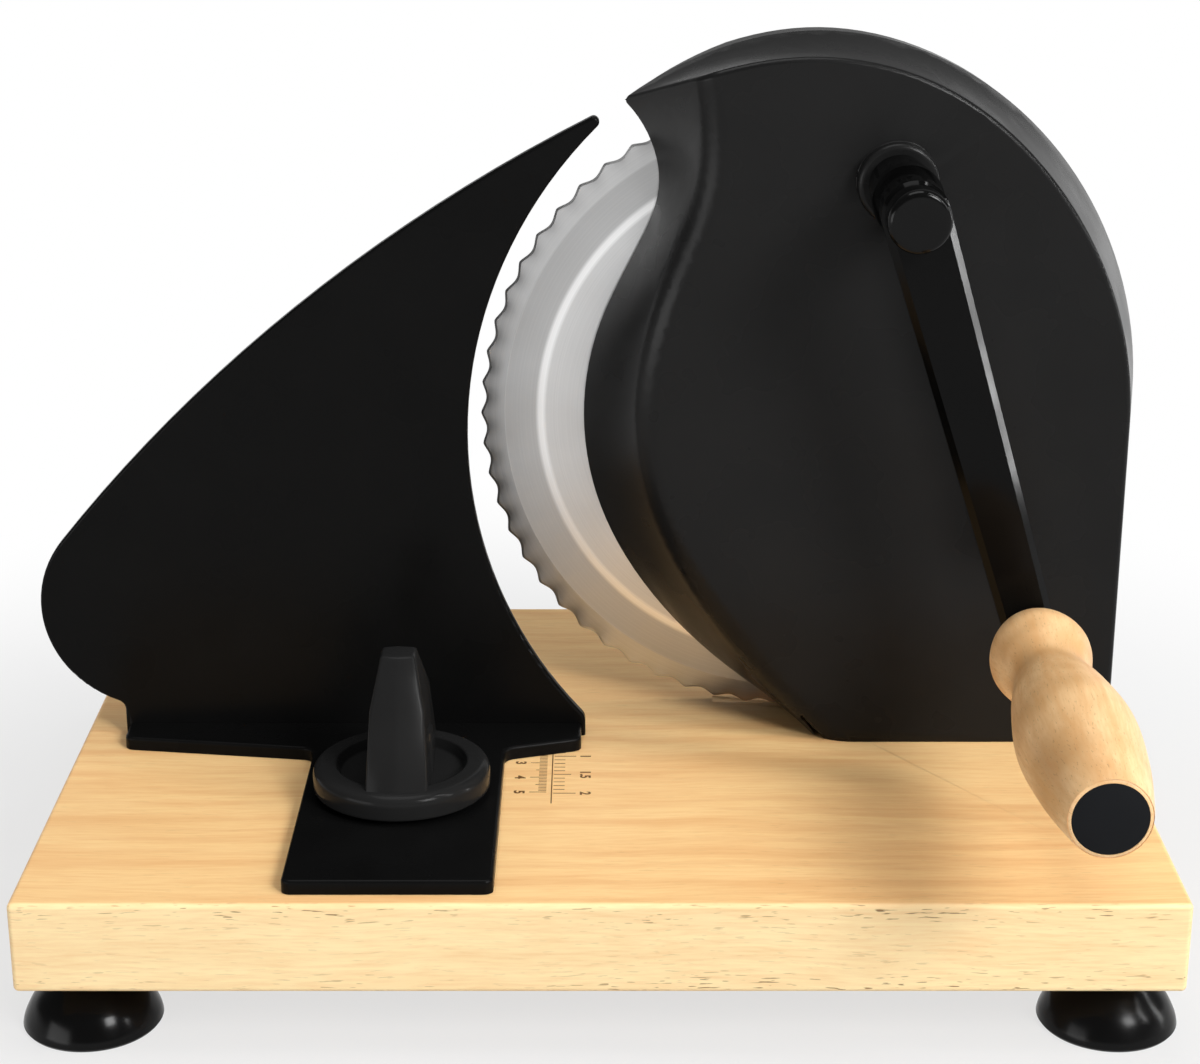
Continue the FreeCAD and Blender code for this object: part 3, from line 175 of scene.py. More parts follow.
@dataclass(frozen=True)
class Beech(Finish):
    """Solid steamed beech, planed or turned, then waxed: pale honey with short dark ray flecks."""

    grain: Grain = Grain.ALONG_X
    face: str = "#fbd193"          # broad faces, warmed by the wax
    edge: str = "#fde3ae"          # sawn front edge, paler: partly its own tone, partly painted light on the face that looks to the front
    streak: str = "#e3a264"        # late wood bands
    pore: str = "#7c5626"          # ray flecks and open pores
    blotch: str = "#b07c42"        # slow stains where end grain drinks the wax
    stain: float = 0.0             # how strongly they show
    stain_mm: float = 24.0
    band_mm: float = 5.5           # width of the bands
    band_long_mm: float = 80.0
    bands: float = 0.42            # how strongly the bands show
    lean: float = 4.0              # degrees between the bands and the piece
    bends: float = 11.0            # slow bends of the fibres in a metre
    bend_mm: float = 9.0           # how far they bend
    fibre_mm: float = 0.9
    fibre_long_mm: float = 12.0
    fibres: float = 0.30           # how strongly the fibres show
    fleck_mm: float = 0.55         # width of a fleck, drawn coarse enough to show
    fleck_long_mm: float = 6.0
    pores: float = 1.0             # how strongly the flecks show
    crowds: float = 14.0           # places with more flecks, in a metre
    calm: float = 0.12             # share of the flecks left on faces that don't look to the front
    plank: tuple[float, float] | None = None   # bottom and top of a plank, in mm: flecks keep to its edges
    relief_mm: float = 0.12
    wax: float = 0.12              # how much the wax film shines over the wood
    wax_roughness: float = 0.35

    def stretched(self, along_mm: float, across_mm: float) -> tuple[float, float, float]:
        """Return the mapping scale of a pattern that is longer along the fibres."""
        scale = [1 / (across_mm * MM)] * 3
        scale[self.grain.value] = 1 / (along_mm * MM)
        return tuple(scale)

    def kept_to_edges(self, tree: NodeTree, place: Node) -> Node:
        """Thin the flecks out in the middle of the plank's thickness.

        Args:
            tree: The material's tree.
            place: The Texture Coordinate node.

        Returns:
            The node that gives the share of the flecks that is left.
        """
        middle, thick = sum(self.plank) / 2 * MM, (self.plank[1] - self.plank[0]) * MM
        height = add_node(tree, "ShaderNodeSeparateXYZ", {0: place.outputs["Object"]}).outputs["Z"]
        offset = add_node(tree, "ShaderNodeMath", {0: height, 1: middle}, operation="SUBTRACT")
        offset = add_node(tree, "ShaderNodeMath", {0: offset}, operation="ABSOLUTE")
        return add_node(tree, "ShaderNodeMapRange", {
            "Value": offset, "From Min": thick * 0.2, "From Max": thick * 0.42, "To Min": 0.22,
            "To Max": 1.0})

    def shade(self, tree: NodeTree, place: Node) -> dict[str, object]:
        """Lay stains, wide bands, fine fibres and flecks over each other, along the fibres.

        Args:
            tree: The material's tree.
            place: Its Texture Coordinate node.

        Returns:
            Each socket of the shader that is set, with its value or what feeds it.
        """
        spot = place.outputs["Object"]
        patch = add_node(tree, "ShaderNodeTexNoise", {"Vector": spot, "Scale": self.crowds})
        blots = add_node(tree, "ShaderNodeTexNoise", {
            "Vector": spot, "Scale": 1 / (self.stain_mm * MM), "Detail": 2.0})
        warp = add_node(tree, "ShaderNodeTexNoise", {"Vector": spot, "Scale": self.bends, "Detail": 2.0})
        bend = add_node(tree, "ShaderNodeVectorMath", {0: warp.outputs["Color"], 1: (self.bend_mm * MM,) * 3},
                        operation="MULTIPLY")
        bent = add_node(tree, "ShaderNodeVectorMath", {0: spot, 1: bend}, operation="ADD")
        noises, marks = [], []
        for long, across, detail, low, high in (
                (self.band_long_mm, self.band_mm, 3.0, 0.42, 0.66),
                (self.fibre_long_mm, self.fibre_mm, 3.0, 0.40, 0.75),
                (self.fleck_long_mm, self.fleck_mm, 1.5, 0.64, 0.69)):
            along = add_node(tree, "ShaderNodeMapping", {
                "Vector": bent, "Scale": self.stretched(long, across),
                "Rotation": (0.0, 0.0, math.radians(self.lean))})
            noises.append(add_node(tree, "ShaderNodeTexNoise", {
                "Vector": along, "Scale": 1.0, "Detail": detail, "Roughness": 0.55}))
            marks.append(add_node(tree, "ShaderNodeValToRGB", {"Fac": noises[-1]},
                                  stops=[(low, BLACK), (high, WHITE)]))
        fine = noises[1]
        bands, fibres, flecks = marks
        normal = add_node(tree, "ShaderNodeSeparateXYZ", {0: place.outputs["Normal"]})
        frontal = add_node(tree, "ShaderNodeMath", {0: normal.outputs["Y"], 1: -1.0},
                           operation="MULTIPLY", use_clamp=True)
        stains = add_node(tree, "ShaderNodeMapRange", {
            "Value": blots, "From Min": 0.42, "From Max": 0.68, "To Max": self.stain})
        fibres = add_node(tree, "ShaderNodeMath", {0: fibres, 1: self.fibres}, operation="MULTIPLY")
        # the sawn front shows fewer bands than the planed top
        limit = add_node(tree, "ShaderNodeMapRange", {
            "Value": frontal, "To Min": self.bands, "To Max": self.bands * 0.4})
        bands = add_node(tree, "ShaderNodeMath", {0: bands, 1: limit}, operation="MULTIPLY")
        # flecks gather in some places and are missing in others, and the front shows more of them
        limits = [
            add_node(tree, "ShaderNodeMapRange", {
                "Value": patch, "From Min": 0.4, "From Max": 0.62, "To Min": 0.3, "To Max": self.pores}),
            add_node(tree, "ShaderNodeMapRange", {"Value": frontal, "To Min": self.calm, "To Max": 0.9})]
        if self.plank:
            limits.append(self.kept_to_edges(tree, place))
        for limit in limits:
            flecks = add_node(tree, "ShaderNodeMath", {0: flecks, 1: limit}, operation="MULTIPLY")
        # the face that looks to the front turns paler: partly the sawn face's own tone, partly painted light
        colour = linear(self.face)
        for share, code in ((frontal, self.edge), (stains, self.blotch), (bands, self.streak),
                            (fibres, self.streak), (flecks, self.pore)):
            colour = add_node(tree, "ShaderNodeMix", {"Factor": share, "A": colour, "B": linear(code)},
                              data_type="RGBA")
        rough = add_node(tree, "ShaderNodeMapRange", {"Value": fine, "To Min": 0.40, "To Max": 0.58})
        height = add_node(tree, "ShaderNodeMath", {0: fine, 1: flecks}, operation="SUBTRACT")
        bump = add_node(tree, "ShaderNodeBump", {
            "Height": height, "Strength": 0.25, "Distance": self.relief_mm * MM})
        return {"Base Color": colour, "Roughness": rough, "Normal": bump, "IOR": 1.5,
                "Coat Weight": self.wax, "Coat Roughness": self.wax_roughness}


@dataclass(frozen=True)
class BlackCoat(Finish):
    """Black coating or moulding: powder coat, enamel, phenolic or rubber, by its gloss and texture."""

    colour: str
    worn: str                      # where hands have dulled it
    roughness: float
    specular: float                # matting agent at the surface dulls the mirror part
    texture_mm: float = 0.9        # orange peel of the coat, or the mould's grain
    relief_mm: float = 0.012
    cloud_mm: float = 28.0         # slow change of gloss from handling
    ior: float = 1.5

    def shade(self, tree: NodeTree, place: Node) -> dict[str, object]:
        """Lay fine relief, and a slow cloud in gloss and depth of colour.

        Args:
            tree: The material's tree.
            place: Its Texture Coordinate node.

        Returns:
            Each socket of the shader that is set, with its value or what feeds it.
        """
        peel, cloud = [
            add_node(tree, "ShaderNodeTexNoise", {
                "Vector": place.outputs["Object"], "Scale": 1 / (size * MM), "Detail": detail})
            for size, detail in ((self.texture_mm, 2.0), (self.cloud_mm, 3.0))]
        tone = add_node(tree, "ShaderNodeMix", {
            "Factor": cloud, "A": linear(self.colour), "B": linear(self.worn)}, data_type="RGBA")
        rough = add_node(tree, "ShaderNodeMapRange", {
            "Value": cloud, "From Min": 0.3, "From Max": 0.7,
            "To Min": self.roughness - 0.04, "To Max": self.roughness + 0.06})
        bump = add_node(tree, "ShaderNodeBump", {
            "Height": peel, "Strength": 0.5, "Distance": self.relief_mm * MM})
        return {"Base Color": tone, "Roughness": rough, "Normal": bump, "IOR": self.ior,
                "Specular IOR Level": self.specular}


@dataclass(frozen=True)
class TurnedMetal(Finish):
    """Metal that was ground round one axis: rings of fine marks, and tones that change with the radius."""

    centre: tuple[float, float, float]        # a point of the axis, which runs along Y
    zones: tuple[tuple[float, str], ...]      # radius in mm, and the tone there
    reach: float = 100.0           # radius in mm at the end of the tones
    roughness: float = 0.36
    mark_mm: float = 0.5           # spacing of the grinding marks, drawn coarse enough to show
    relief_mm: float = 0.005
    clouds: float = 60.0           # slow changes of gloss in a metre

    def shade(self, tree: NodeTree, place: Node) -> dict[str, object]:
        """Lay grinding rings by the distance from the axis, with a gloss broken up by slow noise.

        Args:
            tree: The material's tree.
            place: Its Texture Coordinate node.

        Returns:
            Each socket of the shader that is set, with its value or what feeds it.
        """
        spot = place.outputs["Object"]
        flat = add_node(tree, "ShaderNodeVectorMath", {0: spot, 1: self.centre}, operation="SUBTRACT")
        flat = add_node(tree, "ShaderNodeVectorMath", {0: flat, 1: (1.0, 0.0, 1.0)}, operation="MULTIPLY")
        reach = add_node(tree, "ShaderNodeVectorMath", {0: flat}, operation="LENGTH")
        count, share = [add_node(tree, "ShaderNodeMath", {0: reach, 1: 1 / (size * MM)}, operation="MULTIPLY")
                        for size in (self.mark_mm, self.reach)]
        rings = add_node(tree, "ShaderNodeTexNoise", {"W": count, "Scale": 1.0, "Detail": 2.0},
                         noise_dimensions="1D")
        cloud = add_node(tree, "ShaderNodeTexNoise", {"Vector": spot, "Scale": self.clouds, "Detail": 3.0})
        tone = add_node(tree, "ShaderNodeMapRange", {
            "Value": rings, "From Min": 0.3, "From Max": 0.7, "To Min": 0.93, "To Max": 1.0})
        zone = add_node(tree, "ShaderNodeValToRGB", {"Fac": share},
                        stops=[(radius / self.reach, linear(code)) for radius, code in self.zones])
        colour = add_node(tree, "ShaderNodeMix", {"Factor": 1.0, "A": zone, "B": tone},
                          data_type="RGBA", blend_type="MULTIPLY")
        mixed = add_node(tree, "ShaderNodeMath", {0: rings, 1: cloud}, operation="ADD")
        rough = add_node(tree, "ShaderNodeMapRange", {
            "Value": mixed, "From Min": 0.6, "From Max": 1.4,
            "To Min": self.roughness - 0.07, "To Max": self.roughness + 0.09})
        bump = add_node(tree, "ShaderNodeBump", {
            "Height": rings, "Strength": 0.3, "Distance": self.relief_mm * MM})
        return {"Base Color": colour, "Roughness": rough, "Normal": bump, "Metallic": 1.0}


@dataclass(frozen=True)
class PlainMaterial(Finish):
    """Small pieces and print: nylon, sintered bronze, zinc plate, brass, steel or ink."""

    colour: str
    speckle: str                   # second tone of the speckle
    roughness: float = 0.5
    metallic: float = 0.0
    speckle_mm: float = 0.8        # pores of sintered metal, crystals of zinc, mould grain of nylon
    relief_mm: float = 0.02

    def shade(self, tree: NodeTree, place: Node) -> dict[str, object]:
        """Lay a speckle that changes tone, gloss and relief a little.

        Args:
            tree: The material's tree.
            place: Its Texture Coordinate node.

        Returns:
            Each socket of the shader that is set, with its value or what feeds it.
        """
        speckle = add_node(tree, "ShaderNodeTexNoise", {
            "Vector": place.outputs["Object"], "Scale": 1 / (self.speckle_mm * MM), "Detail": 3.0})
        tone = add_node(tree, "ShaderNodeMix", {
            "Factor": speckle, "A": linear(self.colour), "B": linear(self.speckle)}, data_type="RGBA")
        rough = add_node(tree, "ShaderNodeMapRange", {
            "Value": speckle, "To Min": self.roughness - 0.08, "To Max": self.roughness + 0.08})
        bump = add_node(tree, "ShaderNodeBump", {
            "Height": speckle, "Strength": 0.2, "Distance": self.relief_mm * MM})
        return {"Base Color": tone, "Roughness": rough, "Normal": bump, "Metallic": self.metallic}


# planed beech under wax: honey on top, and a paler front, partly the sawn face's own tone and partly painted
# light, with short dark flecks near its edges
BOARD_BEECH = Beech("waxed_beech_board", plank=(20.0, 46.0))
# turned beech: its curves cut across the fibres and drink the wax, so it is browner and blotched
GRIP_BEECH = Beech("turned_beech_grip", grain=Grain.ALONG_Y, face="#f0c894", edge="#f0c894", streak="#cf9455",
                   stain=0.62, band_mm=3.2, lean=3.0, fleck_mm=0.4, fleck_long_mm=3.0, pores=0.5, calm=0.6)
# baked powder coat: slight orange peel, so that reflections are soft and their edges blurred
HOUSING_COAT = BlackCoat("semi_gloss_powder_coat_housing", colour="#131313", worn="#1b1b1b", roughness=0.27,
                         specular=0.12, texture_mm=1.1, relief_mm=0.015)
# a duller powder coat on sheet steel: nearly no mirror part, so that the flat plate stays dark
STOP_COAT = BlackCoat("satin_powder_coat_stop", colour="#0a0a0a", worn="#101010", roughness=0.28,
                      specular=0.05)
# sprayed enamel flows out before it dries: sharp bright lines on the edges, with long faint waves
ARM_ENAMEL = BlackCoat("gloss_enamel_arm", colour="#050505", worn="#090909", roughness=0.11, specular=0.08,
                       texture_mm=1.6, relief_mm=0.006)
# plastic from a polished mould: small clear highlights on a deep black
CAP_PLASTIC = BlackCoat("gloss_plastic_cap", colour="#050505", worn="#090909", roughness=0.1, specular=0.14,
                        texture_mm=1.2, relief_mm=0.004)
# plastic from a grained mould: matt and a little bluer
GRIP_CAP_PLASTIC = BlackCoat("moulded_plastic_grip_cap", colour="#131416", worn="#1a1b1d", roughness=0.45,
                             specular=0.06, texture_mm=0.5)
# pressed phenolic: hard and smooth, grey black with clear highlights on its round lip
KNOB_PHENOLIC = BlackCoat("moulded_phenolic_knob", colour="#1b1b1b", worn="#232323", roughness=0.16,
                          specular=0.05, texture_mm=1.4, relief_mm=0.006)
# moulded rubber: deep black, with a soft highlight round each cup
FOOT_RUBBER = BlackCoat("moulded_rubber_foot", colour="#070707", worn="#0c0c0c", roughness=0.2, specular=0.12,
                        texture_mm=0.7, relief_mm=0.006, ior=1.52)
# moulded nylon: milky, with a dull shine
NYLON = PlainMaterial("moulded_nylon", colour="#d9d6cc", speckle="#c9c5b8")
# pressed and sintered powder: dull brown gold with darker pores
BRONZE = PlainMaterial("sintered_bronze", colour="#b98d52", speckle="#8d6a3c", roughness=0.42, metallic=1.0,
                       speckle_mm=0.5)
# brass as the lathe leaves it: bright yellow
BRASS = PlainMaterial("turned_brass", colour="#d3b25e", speckle="#c09c4a", roughness=0.3, metallic=1.0)
# zinc plate: pale grey, with crystals that scatter the shine
ZINC = PlainMaterial("zinc_plated_steel", colour="#c2c4c6", speckle="#a4a6a8", roughness=0.36, metallic=1.0,
                     speckle_mm=0.6)
# steel as the lathe leaves it: darker than zinc, with a sharper shine
STEEL = PlainMaterial("turned_steel", colour="#b4b5b6", speckle="#9b9c9e", roughness=0.3, metallic=1.0,
                      speckle_mm=0.4)
# printed ink: dull brown, lighter where the film is thin
INK = PlainMaterial("printed_brown_ink", colour="#4f3110", speckle="#7a5426", roughness=0.6, speckle_mm=0.5)


# ---------------------------------------------------------------- mesh helpers

def centre_of(node: str) -> Vector:
    """Return the middle of a node's box, in metres."""
    low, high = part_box(node)
    return (low + high) / 2


def put(name: str, data: ID) -> Object:
    """Add an object with this data to the scene, at the origin."""
    thing = bpy.data.objects.new(name, data)
    bpy.context.scene.collection.objects.link(thing)
    return thing


def put_smooth(name: str, mesh: Mesh, work: bmesh.types.BMesh, angle: float) -> Object:
    """Write worked faces to a mesh and add it to the scene, smooth up to an angle.

    Args:
        name: The object's name.
        mesh: The mesh that takes the faces.
        work: The faces, which are freed.
        angle: Edges that turn by more than this many degrees stay sharp.

    Returns:
        The object, at the origin.
    """
    work.to_mesh(mesh)
    work.free()
    mesh.shade_smooth()
    mesh.set_sharp_from_angle(angle=math.radians(angle))
    return put(name, mesh)


def shape(name: str, points: list[Vector], faces: list[tuple[int, ...]], angle: float = 32.0) -> Object:
    """Make an object from points and faces, welded, facing outwards and smooth up to an angle.

    Args:
        name: The object's name.
        points: Points in the frame, in metres.
        faces: Corner numbers of each face.
        angle: Edges that turn by more than this many degrees stay sharp.

    Returns:
        The object, at the origin.
    """
    mesh = bpy.data.meshes.new(name)
    mesh.from_pydata(points, [], faces)
    work = bmesh.new()
    work.from_mesh(mesh)
    bmesh.ops.remove_doubles(work, verts=work.verts, dist=WELD)
    bmesh.ops.dissolve_degenerate(work, edges=work.edges, dist=WELD)
    bmesh.ops.recalc_face_normals(work, faces=work.faces)
    return put_smooth(name, mesh, work, angle)


def refined(node: str, name: str, angle: float) -> Object:
    """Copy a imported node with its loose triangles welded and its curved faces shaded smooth.

    Args:
        node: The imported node.
        name: Name of the copy.
        angle: Edges that turn by more than this many degrees stay sharp.

    Returns:
        The copy, at the origin.
    """
    mesh = bpy.data.objects[node].data.copy()
    mesh.name = name
    work = bmesh.new()
    work.from_mesh(mesh)
    bmesh.ops.remove_doubles(work, verts=work.verts, dist=PACKED_WELD)
    # loose triangles of one flat face become one face, so that its shading stays flat up to a fillet
    bmesh.ops.dissolve_limit(work, angle_limit=FLAT, verts=work.verts, edges=work.edges)
    copy = put_smooth(name, mesh, work, angle)
    weighted = copy.modifiers.new("Weighted Normal", "WEIGHTED_NORMAL")
    weighted.keep_sharp = True
    weighted.weight = 80
    return copy


def join(name: str, parts: list[Object]) -> Object:
    """Join objects at the origin into one piece with that name.

    Args:
        name: The piece's name.
        parts: The objects, which are removed.

    Returns:
        The piece.
    """
    whole = bmesh.new()
    for part in parts:
        whole.from_mesh(part.data)
        bpy.data.objects.remove(part)
    mesh = bpy.data.meshes.new(name)
    whole.to_mesh(mesh)
    whole.free()
    return put(name, mesh)


def as_mesh(piece: Object) -> Mesh:
    """Return an object's shape, with its modifiers, as a plain mesh."""
    bpy.context.view_layer.update()
    evaluated = piece.evaluated_get(bpy.context.evaluated_depsgraph_get())
    return bpy.data.meshes.new_from_object(evaluated)


def applied(piece: Object) -> Object:
    """Turn an object's modifiers into a plain mesh and remove them."""
    mesh = as_mesh(piece)
    piece.modifiers.clear()
    piece.data = mesh
    return piece


# ---------------------------------------------------------------- sections and turned shapes

def rounded(corners: list[tuple[float, float, float]], steps: int = 6) -> list[tuple[float, float]]:
    """Round the corners of a half section.

    Args:
        corners: Radius, height and rounding of each corner, in millimetres.
        steps: Segments in each rounding.

    Returns:
        Radius and height of each point, in millimetres.
    """
    line = []
    for i, (x, y, radius) in enumerate(corners):
        if radius <= 0:
            line.append((x, y))
            continue
        here = Vector((x, y))
        before = Vector(corners[i - 1][:2]) - here
        after = Vector(corners[(i + 1) % len(corners)][:2]) - here
        half = before.angle(after) / 2
        run = min(radius / math.tan(half), before.length * 0.49, after.length * 0.49)
        first, last = here + before.normalized() * run, here + after.normalized() * run
        for step in range(steps + 1):
            t = step / steps
            spot = first * (1 - t) ** 2 + here * 2 * t * (1 - t) + last * t * t
            line.append((spot.x, spot.y))
    return line


def smooth_line(points: list[tuple[float, float]], steps: int = 8) -> list[tuple[float, float]]:
    """Draw a Catmull-Rom curve through points.

    Args:
        points: Radius and height of each point, in millimetres.
        steps: Steps from each point to the next.

    Returns:
        Radius and height of each point of the curve.
    """
    ends = [points[0]] + points + [points[-1]]
    line = []
    for i in range(1, len(ends) - 2):
        p0, p1, p2, p3 = (Vector(p) for p in ends[i - 1:i + 3])
        for step in range(steps):
            t = step / steps
            spot = 0.5 * (2 * p1 + (p2 - p0) * t + (2 * p0 - 5 * p1 + 4 * p2 - p3) * t * t
                          + (3 * p1 - p0 - 3 * p2 + p3) * t ** 3)
            line.append((spot.x, spot.y))
    return line + [points[-1]]


def standing(spot: Vector) -> Matrix:
    """Return a placement whose z points up."""
    return Matrix.Translation(spot)


def facing(spot: Vector) -> Matrix:
    """Return a placement whose z points to the front."""
    return Matrix.Translation(spot) @ Matrix.Rotation(math.radians(90), 4, "X")


def turned(name: str, line: list[tuple[float, float]], place: Matrix, segments: int = 96,
           angle: float = 32.0) -> Object:
    """Turn a closed half section round the z of a placement.

    Args:
        name: The object's name.
        line: Radius and height of each point, in millimetres; the section closes on itself.
        place: Where the piece's own axes stand in the frame.
        segments: Faces round the circle.
        angle: Edges that turn by more than this many degrees stay sharp.

    Returns:
        The object.
    """
    points, faces = [], []
    count = len(line)
    for turn in range(segments):
        a = 2 * math.pi * turn / segments
        points += [place @ (Vector((r * math.cos(a), r * math.sin(a), h)) * MM) for r, h in line]
        here, there = turn * count, (turn + 1) % segments * count
        for i in range(count):
            k = (i + 1) % count
            if line[i][0] < 1e-6 and line[k][0] < 1e-6:
                continue           # this stretch of the section lies on the axis and sweeps no face
            faces.append((here + i, there + i, there + k, here + k))
    return shape(name, points, faces, angle)


# ---------------------------------------------------------------- dressing

def dress(piece: Object, finish: Finish, body: Body, slot: str, *nodes: str) -> Object:
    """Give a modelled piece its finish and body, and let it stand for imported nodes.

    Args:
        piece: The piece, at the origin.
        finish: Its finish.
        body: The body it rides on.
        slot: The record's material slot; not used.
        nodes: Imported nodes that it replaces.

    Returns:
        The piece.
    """
    piece.data.materials.clear()
    piece.data.materials.append(finish.material())
    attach(piece, body.value)
    if nodes:
        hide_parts(*nodes)
    LOG.info("%s: %d faces, rides on %s", piece.name, len(piece.data.polygons), body.value)
    return piece


def finish_nodes(finish: Finish, *nodes: str) -> None:
    """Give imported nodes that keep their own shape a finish.

    Args:
        finish: The finish.
        nodes: The nodes that take it.
    """
    for node in nodes:
        piece = bpy.data.objects[node]
        piece.data.materials.clear()
        piece.data.materials.append(finish.material())
        LOG.info("%s: packed shape, %s", node, finish.name)


# ---------------------------------------------------------------- geometry node trees

class NodeShape:
    """A Geometry Nodes tree with named inputs that ends in Realize Instances and Set Material."""

    def __init__(self, name: str, sizes: dict[str, float | int]) -> None:
        """Start the tree.

        Args:
            name: The tree's name.
            sizes: Name and value of each input. A whole number makes a whole-number input.
        """
        self.tree = bpy.data.node_groups.new(name, "GeometryNodeTree")
        face = self.tree.interface
        face.new_socket("Geometry", in_out="OUTPUT", socket_type="NodeSocketGeometry")
        face.new_socket("Geometry", in_out="INPUT", socket_type="NodeSocketGeometry")
        self.values = {}
        for label, value in sizes.items():
            kind = "NodeSocketInt" if isinstance(value, int) else "NodeSocketFloat"
            self.values[face.new_socket(label, in_out="INPUT", socket_type=kind).identifier] = value
        self.source = self.tree.nodes.new("NodeGroupInput")
        self.results = {}

    def __getitem__(self, name: str) -> Node | NodeSocket:
        """Return what gives a named result or input."""
        return self.results[name] if name in self.results else self.source.outputs[name]

    def __setitem__(self, name: str, result: Node | NodeSocket) -> None:
        """Keep what gives a result under a name."""
        self.results[name] = result

    def work_out(self, *steps: tuple) -> None:
        """Work a formula out, one arithmetic node for each step.

        Args:
            steps: The name of the step's result, its operation, and its terms: numbers or names.
        """
        for result, operation, *terms in steps:
            inputs = {i: self[term] if isinstance(term, str) else term for i, term in enumerate(terms)}
            self[result] = add_node(self.tree, "ShaderNodeMath", inputs, operation=operation)

    def build(self, piece: Object, geometry: Node, finish: Finish) -> Object:
        """Close the tree, run it on an object and keep the plain mesh.

        Args:
            piece: The object that carries the modifier.
            geometry: The node that gives the geometry.
            finish: The finish set on it.

        Returns:
            The object with its new mesh.
        """
        real = add_node(self.tree, "GeometryNodeRealizeInstances", {0: geometry})
        coat = add_node(self.tree, "GeometryNodeSetMaterial", {
            "Geometry": real, "Material": finish.material()})
        add_node(self.tree, "NodeGroupOutput", {0: coat})
        modifier = piece.modifiers.new(self.tree.name, "NODES")
        modifier.node_group = self.tree
        for identifier, value in self.values.items():
            modifier[identifier] = value
        return applied(piece)


# ---------------------------------------------------------------- sub-assemblies

@dataclass
class PrintedScale:
    """Slice thickness scale printed on the board, in centimetres and inches. Sizes are in millimetres."""

    line_x: float = -13.9          # the long line, from the middle of the board
    line_long: float = 57.5
    zero_y: float = 118.5          # from the board's front edge, where the flange stands for no thickness
    centimetre: float = 10.0
    inch: float = 25.4
    middle_every: int = 5          # every how many marks is a middle one
    full_every: int = 10           # every how many marks is a full one
    width: float = 0.32            # width of a printed line
    film: float = 0.03             # thickness of the ink
    lift: float = 0.01             # keeps the ink's underside out of the board
    digit: float = 3.1             # height of a figure
    digit_em: float = 1.35         # size of the letters that gives a digit a height of 1
    bold: float = 0.13             # how much a figure's strokes are fattened

    def spot(self, x: float, y: float) -> Vector:
        """Return a point of the print, given from the board's middle and front edge."""
        low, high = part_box("base_board")
        return Vector(((low.x + high.x) / 2 + x * MM, low.y + y * MM, high.z + self.lift * MM))

    def ticks(self, name: str, x: float, pitch: float, count: int, side: int,
              lengths: tuple[float, float, float]) -> Object:
        """Print a row of marks that starts at zero and runs to the front.

        Args:
            name: Name of the row.
            x: Where the marks start, beside the line.
            pitch: Distance between marks.
            count: Number of marks.
            side: 1 for marks that run right, -1 for left.
            lengths: Length of a plain, a middle and a full mark.

        Returns:
            The row, as one mesh.
        """
        plain, middle, full = (length * MM for length in lengths)
        work = NodeShape(name, {
            "Count": count, "Pitch": pitch * MM, "Plain": plain, "Middle": middle, "Full": full,
            "Line Width": self.width * MM, "Film": self.film * MM,
            "Middle Every": self.middle_every, "Full Every": self.full_every, "Side": side})
        work["Index"] = add_node(work.tree, "GeometryNodeInputIndex")
        work["Length"] = work["Plain"]
        for longer in ("Middle", "Full"):
            work.work_out(("Past", "MODULO", "Index", longer + " Every"), ("Is", "COMPARE", "Past", 0.0, 0.1))
            work["Length"] = add_node(work.tree, "ShaderNodeMix", {
                "Factor": work["Is"], "A": work["Length"], "B": work[longer]})
        work.work_out(("Step", "MULTIPLY", "Pitch", -1.0), ("Half Film", "MULTIPLY", "Film", 0.5),
                      ("Half", "MULTIPLY", "Length", 0.5), ("Aside", "MULTIPLY", "Half", "Side"))
        step, size, aside = [
            add_node(work.tree, "ShaderNodeCombineXYZ", {axis: work[label] for axis, label in axes.items()})
            for axes in ({"Y": "Step"}, {"X": "Length", "Y": "Line Width", "Z": "Film"},
                         {"X": "Aside", "Z": "Half Film"})]
        row = add_node(work.tree, "GeometryNodeMeshLine", {"Count": work["Count"], "Offset": step})
        moved = add_node(work.tree, "GeometryNodeSetPosition", {"Geometry": row, "Offset": aside})
        unit = add_node(work.tree, "GeometryNodeMeshCube", {"Size": (1.0, 1.0, 1.0)})
        marks = add_node(work.tree, "GeometryNodeInstanceOnPoints", {
            "Points": moved, "Instance": unit, "Scale": size})
        carrier = work.build(put(name, bpy.data.meshes.new(name)), marks, INK)
        carrier.data.transform(Matrix.Translation(self.spot(x, self.zero_y)))
        return carrier

    def figure(self, text: str, x: float, y: float) -> Object:
        """Print a figure that reads from the left side of the board.

        Args:
            text: The digits.
            x: Middle of the figure from the board's middle.
            y: Middle of the figure from the board's front edge.

        Returns:
            The figure as a closed mesh.
        """
        half_film = self.film * MM / 2
        curve = bpy.data.curves.new("scale_figure", "FONT")
        curve.body = text
        curve.size = self.digit * MM * self.digit_em
        curve.extrude = half_film
        curve.offset = self.bold * MM
        curve.align_x = curve.align_y = "CENTER"
        outline = put("scale_figure", curve)
        mesh = as_mesh(outline)
        bpy.data.objects.remove(outline)
        mesh.transform(Matrix.Translation(self.spot(x, y) + Vector((0, 0, half_film)))
                       @ Matrix.Rotation(math.radians(-90), 4, "Z"))
        return put("scale_figure", mesh)

    def line(self) -> Object:
        """Print the long line between the two rows of marks."""
        half, long = self.width / 2, self.line_long
        corners = [self.spot(self.line_x + dx * half, self.zero_y + dy) + Vector((0, 0, dz * self.film * MM))
                   for dz in (0, 1) for dx, dy in ((-1, 0), (1, 0), (1, -long), (-1, -long))]
        walls = [(i, (i + 1) % 4, (i + 1) % 4 + 4, i + 4) for i in range(4)]
        return shape("scale_line", corners, [(0, 1, 2, 3), (4, 5, 6, 7)] + walls)

